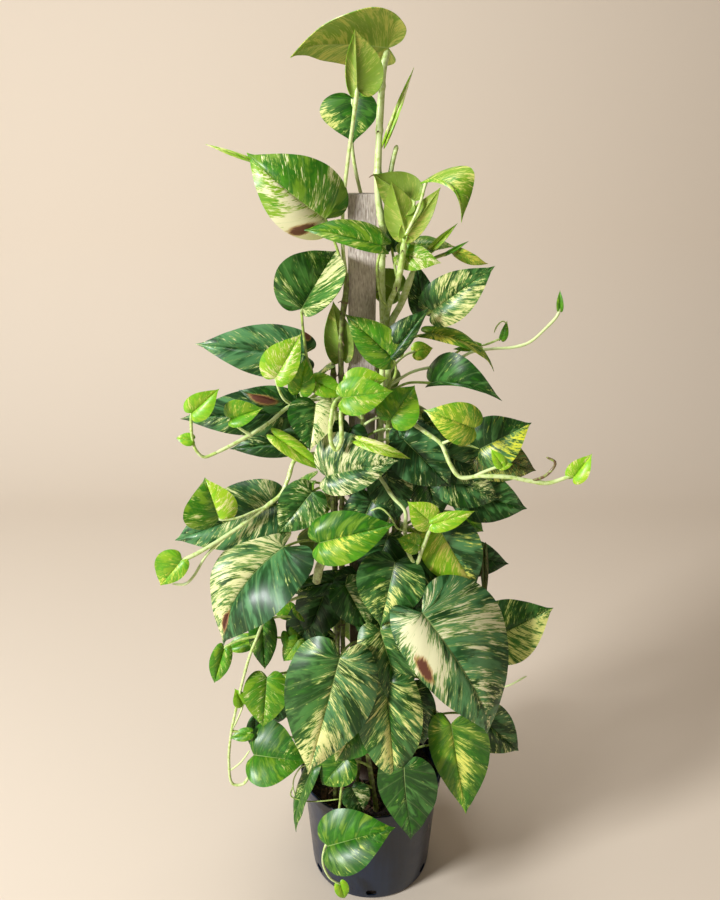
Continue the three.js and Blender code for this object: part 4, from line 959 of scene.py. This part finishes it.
vine("vine_mid_left", root=(-88, 2), slot=(-64, 20), top=890, leaves=[
    # Its age above 1 gives the lighter blue-green greens, which are painted sheen
    leaf("big_striped", (275, 505), (173, 541), near=56, out=30, wide=0.62, age=1.1, cream=0.34,
         yellow=0.25),
    leaf("lime_side", (219, 519), (205, 478), near=112, out=-12, wide=(1.5, 1), stalk=[(268, 506, 82),
         (255, 511, 92), (237, 518, 106)], age=(0.62, 0.12), cream=(0.25, 0.32), yellow=0.4,
         patches=[(0.8, 0.5, 0.5, 0.3, 0.3)]),
    leaf("small_round", (312, 492), (278, 534), near=70, out=16, wide=0.85, age=0.85, cream=0.32,
         yellow=0.2),
    leaf("olive_back", (300, 500), (314, 482), near=30, wide=0.9, age=0.5, cream=0.2, yellow=0.8),
    leaf("left_runner_end", (182, 560), (160, 586), near=128, wide=(0.6, 1.1), stalk=NO_STALK, age=0.35,
         cream=0.35, yellow=0.9),
    # Its age above 1 on the left half gives patches of the lighter blue-green greens, which are painted
    # sheen
    leaf("large_hanging", (284, 547), (222, 645), near=96, out=40, wide=(0.83, 0.54), turn=44,
         fold=(-9, 33), arch=0.16, age=(1.04, 0.95), cream=(0.1, 0.58), spot=(-0.05, 0.9, 0.4, 0.05)),
], shoots=[
    shoot("left_runner", thick=6.4, through=[(331, 458, 20), (310, 454, 42), (295, 460, 54),
          (288, 479, 64), (281, 494, 73), (268, 505, 82), (250, 519, 94), (235, 530, 102),
          (205, 549, 118), (190, 557, 124), (178, 562, 128)], young=0.95),
    shoot("left_runner_fork", thick=4.2, through=[(223, 538, 108), (206, 556, 116), (193, 577, 120),
          (185, 584, 120), (172, 584, 120)], young=1.1),
])
vine("vine_low_left", root=(-66, 56), slot=(-58, 42), top=640, leaves=[
    leaf("hanging_dark", (262, 620), (265, 671), near=70, out=10, wide=0.5, age=0.75, cream=0.2),
    leaf("curled", (224, 648), (214, 684), near=96, out=6, wide=0.5, fold=24, stalk=[(258, 636, 90),
         (240, 640, 94)], age=0.5, cream=0.15, yellow=0.4),
    leaf("olive_left", (252, 640), (225, 650), near=66, wide=0.6, age=0.5, cream=0.2, yellow=0.9),
    leaf("mid_hang", (267, 677), (263, 728), near=80, out=20, wide=0.82, age=0.5, yellow=0.2),
    leaf("tiny_lime", (243, 704), (235, 689), near=92, wide=0.85, stalk=NO_STALK, age=0.15, cream=0.2,
         yellow=0.5),
    leaf("low_hang", (254, 755), (306, 762), near=104, out=20, wide=(1.3, 1.05), age=(0.68, 0.55),
         cream=0.12, yellow=0.4),
    leaf("lime_streak", (256, 742), (281, 727), near=84, wide=0.7, age=0.3, cream=0.4, yellow=0.6),
    leaf("small_dark", (256, 720), (251, 748), near=62, wide=0.45, cream=0.1),
    leaf("olive_small", (251, 733), (230, 738), near=90, wide=0.6, stalk=[(232, 731, 86)], age=0.5,
         cream=0.2, yellow=0.8),
    leaf("dark_small", (277, 700), (279, 724), near=50, wide=0.8, cream=0.15),
    leaf("pair_a", (288, 632), (299, 656), near=60, wide=0.65, age=0.5, cream=0.25, yellow=0.5),
    leaf("pair_b", (298, 640), (283, 662), near=66, wide=0.65, age=0.5, yellow=0.5),
    leaf("lit_olive", (293, 611), (271, 610), near=40, wide=0.85, age=0.4, cream=0.2, yellow=0.9),
    leaf("olive_right", (298, 606), (321, 621), near=50, wide=0.75, age=0.5, cream=0.25, yellow=0.8),
    leaf("dark_flat", (328, 636), (284, 640), near=44, wide=0.4, cream=0.1),
    shaded("deep_k", (326, 590), (306, 640), near=50),
    shaded("deep_j", (314, 610), (294, 654), near=50, cream=0.2),
], shoots=[
    shoot("hanging_runner", thick=4.8, through=[(336, 602, 42), (318, 596, 50), (300, 597, 60),
          (284, 604, 72), (265, 620, 86), (256, 640, 92), (250, 655, 93), (245, 672, 93), (237, 705, 90),
          (231, 735, 86), (229, 762, 84), (233, 784, 84), (243, 784, 84), (251, 773, 84)], young=0.95),
    shoot("rootlet_a", thick=3.2, through=[(231, 770, 84), (241, 762, 84), (250, 750, 84)], young=1.3),
    shoot("rootlet_b", thick=3.2, through=[(232, 730, 87), (239, 716, 90), (244, 703, 92)], young=1.3),
])
vine("vine_low_front", root=(8, 84), slot=(-10, 58), top=560, leaves=[
    leaf("front_big", (340, 657), (308, 777), near=150, out=43, wide=0.68, turn=-12, fold=(8, -10),
         arch=0, age=(1, 0.86), cream=(0.46, 0.36), yellow=0.45, patches=[(0, 0.86, 0.7, 0.16, 0.45),
         (0.5, 0.25, 0.3, 0.2, -0.3)]),
    leaf("front_cream", (365, 715), (335, 763), near=132, out=16, wide=0.8, age=0.7, cream=(0.2, 0.8),
         yellow=0.45),
    leaf("front_narrow", (386, 680), (395, 786), near=132, out=24, wide=0.55, age=0.9, cream=(0.36, 0.48),
         yellow=0.55, patches=[(0, 0.85, 0.7, 0.15, 0.35)]),
    leaf("front_marbled", (380, 630), (404, 710), near=112, out=24, wide=0.62, age=0.88, cream=0.4,
         yellow=0.5),
    leaf("front_dark", (410, 690), (424, 747), near=106, out=16, wide=0.65, age=1, cream=0.35,
         yellow=0.2),
    leaf("front_upper", (345, 585), (370, 631), near=84, out=16, wide=0.8, age=0.85, cream=(0.45, 0.1)),
    leaf("front_flat", (338, 580), (286, 592), near=60, out=4, wide=0.45, age=0.9, cream=0.2),
    leaf("over_rim", (404, 767), (414, 845), near=158, out=14, wide=(0.62, 0.48), turn=-20,
         fold=(25, -35), arch=-0.05, age=(0.85, 0.8), cream=(0.12, 0.05), yellow=0.5,
         patches=[(0.35, 0.28, 0.2, 0.12, 0.45)]),
    leaf("on_pot", (328, 846), (394, 828), near=170, out=8, wide=0.86, stalk=[(366, 730, 58),
         (350, 752, 104), (342, 785, 137), (338, 815, 137), (330, 836, 148)], age=(0.62, 0.72),
         cream=(0.1, 0.16), yellow=0.8),
    leaf("shoot_leaf", (340, 883), (345, 899), near=140, wide=0.65, stalk=NO_STALK, age=0.05, cream=0.15,
         yellow=0.5),
    leaf("rim_dark", (352, 788), (364, 812), near=96, out=8, wide=1, age=0.9, cream=0.4, yellow=0.2),
    leaf("rim_edge", (316, 765), (294, 832), near=112, out=20, wide=0.38, turn=60, age=0.75, cream=0.25,
         yellow=0.4),
    leaf("rim_lime", (346, 758), (321, 786), near=122, out=10, wide=1, age=0.7, cream=0.2, yellow=0.8),
    shaded("deep_l", (372, 602), (392, 652), near=76, cream=0.2),
    shaded("deep_e", (357, 574), (346, 620), near=66),
], shoots=[
    shoot("pot_shoot", thick=4, through=[(330, 836, 148), (324, 850, 145), (323, 864, 142),
          (330, 878, 142), (341, 885, 141)], young=1),
    shoot("white_root", thick=2.6, through=[(316, 765, 112), (303, 766, 116), (295, 776, 118),
          (293, 786, 119), (295, 796, 119)], young=1.4),
    shoot("tendril", thick=2.2, through=[(293, 786, 119), (291, 796, 121), (305, 801, 128),
          (322, 801, 136), (339, 799, 139)], young=0.5),
])
vine("vine_low_right", root=(52, 64), slot=(38, 42), top=620, leaves=[
    # Its ages above 1 give the lighter blue-green greens, which are painted sheen
    leaf("biggest", (422, 613), (495, 736), near=146, out=38, wide=(0.96, 0.5), turn=-28, fold=(5, -22),
         arch=0.08, stalk=[(395, 664, 42), (409, 652, 100), (420, 622, 140)], age=(1.12, 1.05),
         cream=(0.42, 0.3), yellow=0.1, spot=(0.8, 0.52, 0.14, 0.05),
         patches=[(0.5, 0.45, 0.42, 0.24, 0.65)]),
    leaf("right_striped", (490, 640), (553, 608), near=56, wide=0.9, age=0.85, cream=(0.3, 0.7),
         yellow=0.6),
    leaf("right_dark", (475, 715), (520, 752), near=60, out=10, wide=0.75, cream=0.28),
    leaf("right_hanging", (451, 724), (467, 817), near=134, out=10, wide=(0.6, 0.42), turn=-6,
         fold=(18, -15), arch=-0.05, age=(0.7, 0.5), cream=(0.2, 0.25), yellow=0.8,
         patches=[(-0.2, 0.7, 0.35, 0.3, 0.4)]),
    shaded("deep_m", (412, 600), (400, 660), near=56),
], shoots=[
    shoot("twig_right", thick=3, through=[(395, 655, 42), (440, 664, 62), (480, 684, 80), (503, 687, 88),
          (527, 676, 90)], young=1.2),
])

# The leaves that the photograph doesn't show: four vines close the plant at the back and the sides, each
# within its own part of a turn, with leaves at even heights that lean out less the higher they stand.
HIDDEN = dict(leaves=8, start=250, end=930, reach=124, taper=0.5, spread=34, long=136, droop=50)


def hidden_vine(name, root, slot, facing, seed, lift=0, top=960):
    roll = dice(seed)
    looks = dice(seed + 500)
    leaves = []
    for i in range(HIDDEN["leaves"]):
        share = i / (HIDDEN["leaves"] - 1)
        z = HIDDEN["start"] + lift + (HIDDEN["end"] - HIDDEN["start"]) * share
        angle = math.radians(facing + HIDDEN["spread"] * (i % 2 - 0.5) + 10 * (next(roll) - 0.5))
        outward = np.array([math.cos(angle), math.sin(angle), 0])
        reach = HIDDEN["reach"] * (1 - HIDDEN["taper"] * share**2) * (0.8 + 0.3 * next(roll))
        droop = math.radians(HIDDEN["droop"] + 20 * (next(roll) - 0.5))
        long = HIDDEN["long"] * (0.8 + 0.35 * next(roll)) * (1 - 0.25 * share)
        joint = outward * reach + np.array([STAKE["x"] / 2, 0, z])
        tip = joint + outward * long * math.cos(droop) - UP * long * math.sin(droop)
        leaves.append(leaf(f"{name[5:]}_{i}", joint, tip, viewer=joint + outward * 1000 + UP * 700,
                           wide=0.7 + 0.12 * next(roll), arch=0.08, age=0.45 + 0.55 * next(looks),
                           cream=0.15 + 0.4 * next(looks), yellow=0.2 + 0.6 * next(looks)))
    vine(name, root, slot, top, leaves)


hidden_vine("vine_side_right", root=(78, -34), slot=(36, -14), facing=27, seed=6)
hidden_vine("vine_back_right", root=(36, -66), slot=(10, -32), facing=65, seed=1, lift=48, top=1000)
hidden_vine("vine_back_left", root=(-34, -72), slot=(-34, -32), facing=115, seed=4, lift=16)
hidden_vine("vine_side_left", root=(-78, -38), slot=(-62, -14), facing=153, seed=8, lift=62, top=1000)


# Pot, soil and stake


def lathe(profile, sides):
    """A solid turned about the upright axis from a profile of (radius, height), radius 0 at both ends"""
    turns = np.linspace(0, 2 * math.pi, sides, endpoint=False)
    ring = np.stack([np.cos(turns), np.sin(turns)], axis=1)
    inner = profile[1:-1]
    points = [(0, 0, profile[0][1]), *((r * x, r * y, z) for r, z in inner for x, y in ring)]
    points.append((0, 0, profile[-1][1]))
    faces = []
    for k in range(sides):
        after = (k + 1) % sides
        faces.append([0, 1 + after, 1 + k])
        for low in range(1, 1 + (len(inner) - 1) * sides, sides):
            faces.append([low + k, low + after, low + sides + after, low + sides + k])
        last = 1 + (len(inner) - 1) * sides
        faces.append([last + k, last + after, len(points) - 1])
    return np.array(points, float), faces


def pot_radius(z):
    return POT["foot"] + (POT["rim"] - POT["lip"] - POT["foot"]) * z / POT["height"]


def pot_profile():
    """The pot's section: a rounded foot, a plain wall, a stepped band, a rolled rim and the inside"""
    top = POT["height"]
    band = top - POT["band"]
    foot = POT["foot"]
    rim = POT["rim"]
    wall = POT["wall"]
    heel = POT["heel"]
    roll = POT["roll"]
    outside = [(0, 3.2), (foot - 16, 3.2), (foot - 13, 0.4), (foot - 11, 0), (foot - heel, 0)]
    outside += [(foot - heel + 7.1 * math.sin(a), heel - heel * math.cos(a))
                for a in np.linspace(0.2, 1.55, 8)]
    outside += [(pot_radius(z), z) for z in np.linspace(14, band - 8, 12)]
    outside += [(pot_radius(band), band - 1), (pot_radius(band) + 1.2, band), (rim - 2, band + 1.2)]
    outside += [(rim - 0.8, band + 2.5), (rim - 0.4, top - 7), (rim - 0.2, top - 4.5)]
    outside += [(rim - roll + roll * math.cos(a), top - roll + roll * math.sin(a))
                for a in np.linspace(0, 2.6, 8)]
    inside = [(rim - 6, top - 3.2), (pot_radius(top) - wall, top - 6)]
    inside += [(pot_radius(z) - wall, z) for z in (top - 20, SOIL_TOP - 14, 90, POT["floor"] + 5)]
    corner = pot_radius(POT["floor"]) - wall - 3
    return [*outside, *inside, (corner, POT["floor"] + 0.6), (0, POT["floor"] + 0.6)]


def cut(piece, tool):
    """Take the tool's mesh away from the piece"""
    taken = piece.modifiers.new("cut", "BOOLEAN")
    taken.operation = "DIFFERENCE"
    taken.solver = "EXACT"
    taken.object = tool
    bpy.context.view_layer.update()
    cut_mesh = bpy.data.meshes.new_from_object(piece.evaluated_get(bpy.context.evaluated_depsgraph_get()))
    piece.modifiers.clear()
    piece.data = cut_mesh
    bpy.data.objects.remove(tool)


def drain_holes():
    """A ring of blunt blocks with rounded corners, where the pot's drain holes go"""
    shape = bmesh.new()
    for i in range(DRAIN["count"]):
        made = bmesh.ops.create_cube(shape, size=1)["verts"]
        turn = 2 * math.pi * i / DRAIN["count"]
        for corner in made:
            x, y = corner.co.x * DRAIN["width"], corner.co.y * DRAIN["deep"] - POT["foot"]
            z = corner.co.z * DRAIN["height"] + DRAIN["above"] + DRAIN["height"] / 2
            corner.co = (*turned(x, y, turn), z)
    radial = [edge for edge in shape.edges if edge.calc_length() > DRAIN["deep"] - 4]
    bmesh.ops.bevel(shape, geom=radial, offset=DRAIN["round"], segments=5, affect="EDGES", profile=0.5)
    bmesh.ops.scale(shape, vec=(MM, MM, MM), verts=shape.verts)
    mesh = bpy.data.meshes.new("drain")
    shape.to_mesh(mesh)
    return in_scene("drain", mesh)


def pot():
    points, faces = lathe(pot_profile(), POT["sides"])
    piece = new_piece("nursery_pot", points, faces, [POT_PLASTIC], "pot")
    cut(piece, drain_holes())
    piece.data.set_sharp_from_angle(angle=SHARP_POT_EDGE)


def rugged(point, scale, seed=0.0):
    """Smooth noise from -1 to 1 at a point in millimetres, `scale` millimetres to a lump"""
    return noise.noise(Vector(point) / scale + Vector((seed, -seed, seed)))


def soil():
    """Potting mix that fills the pot, with a crumbly top"""
    radius = [pot_radius(z) - POT["wall"] - 0.4 for z in (4.6, SOIL_TOP)]
    shares = np.linspace(0, 1, 46)[:-1]
    profile = [(0, 5), (radius[0] - 4, 5), (radius[1] - 0.3, SOIL_TOP - 6)]
    profile += [(radius[1] * (1 - share) - 0.2, SOIL_TOP - 2) for share in shares[:-1]]
    points, faces = lathe([*profile, (0, SOIL_TOP - 2)], 120)
    for point in points:
        if point[2] > SOIL_TOP - 3:
            point[2] += sum(high * rugged((*point[:2], 0), size, seed) for high, size, seed in LUMPS)
    new_piece("potting_mix", points, faces, [PEAT], "soil")

    roll = dice(7)
    chips = []
    for i in range(CHIPS["count"]):
        spin = i * CHIPS["turn"]
        reach = CHIPS["inner"] + (CHIPS["outer"] - CHIPS["inner"]) * math.sqrt(next(roll))
        place = (reach * math.cos(spin), reach * math.sin(spin), SOIL_TOP)
        long = CHIPS["long"] * (0.7 + 0.6 * next(roll))
        chips.append((place, (long, CHIPS["broad"], CHIPS["thick"]), [next(roll) for _ in range(3)]))
    for _ in range(CRUMBS["count"]):
        spin = WHOLE_TURN * next(roll)
        reach = (radius[1] - 7) * math.sqrt(next(roll))
        long = CRUMBS["long"] + CRUMBS["longer"] * next(roll) ** 2
        place = (reach * math.cos(spin), reach * math.sin(spin), SOIL_TOP - 1)
        chips.append((place, (long, 0.6 * long, 0.3 * long), [next(roll) for _ in range(3)]))
    shape = bmesh.new()
    for place, size, tilt in chips:
        made = bmesh.ops.create_cube(shape, size=1)["verts"]
        for corner in made:
            co = Vector([0.5 * math.copysign(1, corner.co[k]) * size[k] * (0.75 + 0.35 * next(roll))
                         for k in range(3)])
            bend = Vector((0.5 * tilt[0] - 0.25, 0.5 * tilt[1] - 0.25, 0))
            co.z += bend.x * co.x + bend.y * co.y
            corner.co = Vector((*turned(co.x, co.y, WHOLE_TURN * tilt[2]), co.z)) + Vector(place)
    bmesh.ops.bevel(shape, geom=shape.edges[:], offset=0.9, segments=1, affect="EDGES", profile=0.5)
    points = [corner.co[:] for corner in shape.verts]
    faces = [[corner.index for corner in face.verts] for face in shape.faces]
    new_piece("bark_chips", points, faces, [BARK], "soil")


def stake():
    """The plank: sawn flat, its corners worn round, with raised grain and a few long cracks"""
    wide, thick = STAKE["width"] / 2, STAKE["thick"] / 2
    worn = 1.6
    corners = [(wide, -thick), (wide, thick), (-wide, thick), (-wide, -thick)]
    section = []
    for (x, y), (to_x, to_y) in zip(corners, corners[1:] + corners[:1]):
        way = np.sign([to_x - x, to_y - y])
        start, end = np.array([x, y]) + way * worn, np.array([to_x, to_y]) - way * worn
        count = 36 if to_x != x else 14
        section += [start + (end - start) * k / count for k in range(count + 1)]
        section.append(np.array([to_x, to_y]) - np.sign([to_x, to_y]) * worn * 0.3)
    section = np.array(section)
    outward = np.clip(section / [wide, thick], -1, 1) ** 9
    outward /= np.maximum(np.linalg.norm(outward, axis=1), 1e-6)[:, None]
    heights = np.concatenate([[STAKE["foot"]], np.linspace(STAKE["foot"] + 1, STAKE["top"] - 1.5, 150),
                              [STAKE["top"]]])
    points = []
    for z in heights:
        end = 1.2 if z in (STAKE["foot"], STAKE["top"]) else 0
        for (x, y), out in zip(section, outward):
            grain = sum(deep * rugged((x * across, y * across, z * along), 22, seed)
                        for deep, across, along, seed in GRAIN)
            crack = abs(rugged((x * 3, y * 3, z * 0.12), 20, 9))
            sunk = 0.45 + end - 0.6 * grain + 0.8 * max(0, 1 - crack / 0.03)
            points.append((STAKE["x"] + x - out[0] * sunk, y - out[1] * sunk, z))
    count = len(section)
    faces = ring_walls(len(heights), count)
    for row, ends in ((0, -1), (len(heights) - 1, 1)):
        middle = len(points)
        points.append((STAKE["x"], 0, heights[row]))
        for k in range(count):
            edge = [row * count + k, row * count + (k + 1) % count, middle]
            faces.append(edge[::ends])
    new_piece("stake_plank", points, faces, [WEATHERED_WOOD], "stake")


pot()
soil()
stake()


# Studio: one sheet of pale paper under the plant and up behind it, soft light from the left and above
SWEEP = dict(front=3000, back=1500, bend=900, top=3400, half=4000)
LIT = (0, 0, 0.75)  # the middle of the plant, in metres, which the lights are turned to


def backdrop():
    """The floor, which curves up into a wall behind the plant"""
    back, bend = SWEEP["back"], SWEEP["bend"]
    line = [(-SWEEP["front"], 0), (back, 0)]
    line += [(back + bend * math.sin(a), bend - bend * math.cos(a)) for a in np.linspace(0.1, 1.5, 24)]
    line.append((back + bend, SWEEP["top"]))
    points = [(x, y, z) for y, z in line for x in (-SWEEP["half"], SWEEP["half"])]
    faces = [[k, k + 1, k + 3, k + 2] for k in range(0, len(points) - 2, 2)]
    mesh = bpy.data.meshes.new("backdrop")
    mesh.from_pydata((np.array(points) * MM).tolist(), [], faces)
    mesh.materials.append(BACKDROP_PAPER)
    mesh.polygons.foreach_set("use_smooth", [True] * len(faces))
    in_scene("backdrop", mesh)


def soft_light(name, place, width, power, tint):
    """A round soft light, in metres and watts"""
    light = bpy.data.lights.new(name, "AREA")
    light.shape = "DISK"
    light.size = width
    light.energy = power
    light.color = colour(tint)[:3]
    lamp = in_scene(name, light)
    lamp.location = place
    lamp.rotation_euler = (Vector(LIT) - Vector(place)).to_track_quat("-Z", "Y").to_euler()


backdrop()
soft_light("window", place=(-3.4, -2.25, 2.3), width=1.1, power=292, tint="#f6f8fa")
soft_light("fill", place=(2.2, -1.6, 1.0), width=1.6, power=9, tint="#ffe9d2")
soft_light("top", place=(-0.3, 0.1, 3.0), width=1.2, power=28, tint="#ffffff")

world = bpy.data.worlds.new("studio")
world.use_nodes = True
world.node_tree.nodes["Background"].inputs["Color"].default_value = colour("#e6ded4")
world.node_tree.nodes["Background"].inputs["Strength"].default_value = 0.18
bpy.context.scene.world = world
bpy.context.scene.view_settings.view_transform = "Standard"

camera = in_scene("camera", bpy.data.cameras.new("camera"))
camera.location = EYE * MM
camera.rotation_euler = (math.pi / 2 - PITCH, 0, 0)
camera.data.sensor_width = SENSOR
camera.data.lens = SENSOR * LENS / FRAME["height"]
camera.data.clip_end = 50
bpy.context.scene.camera = camera
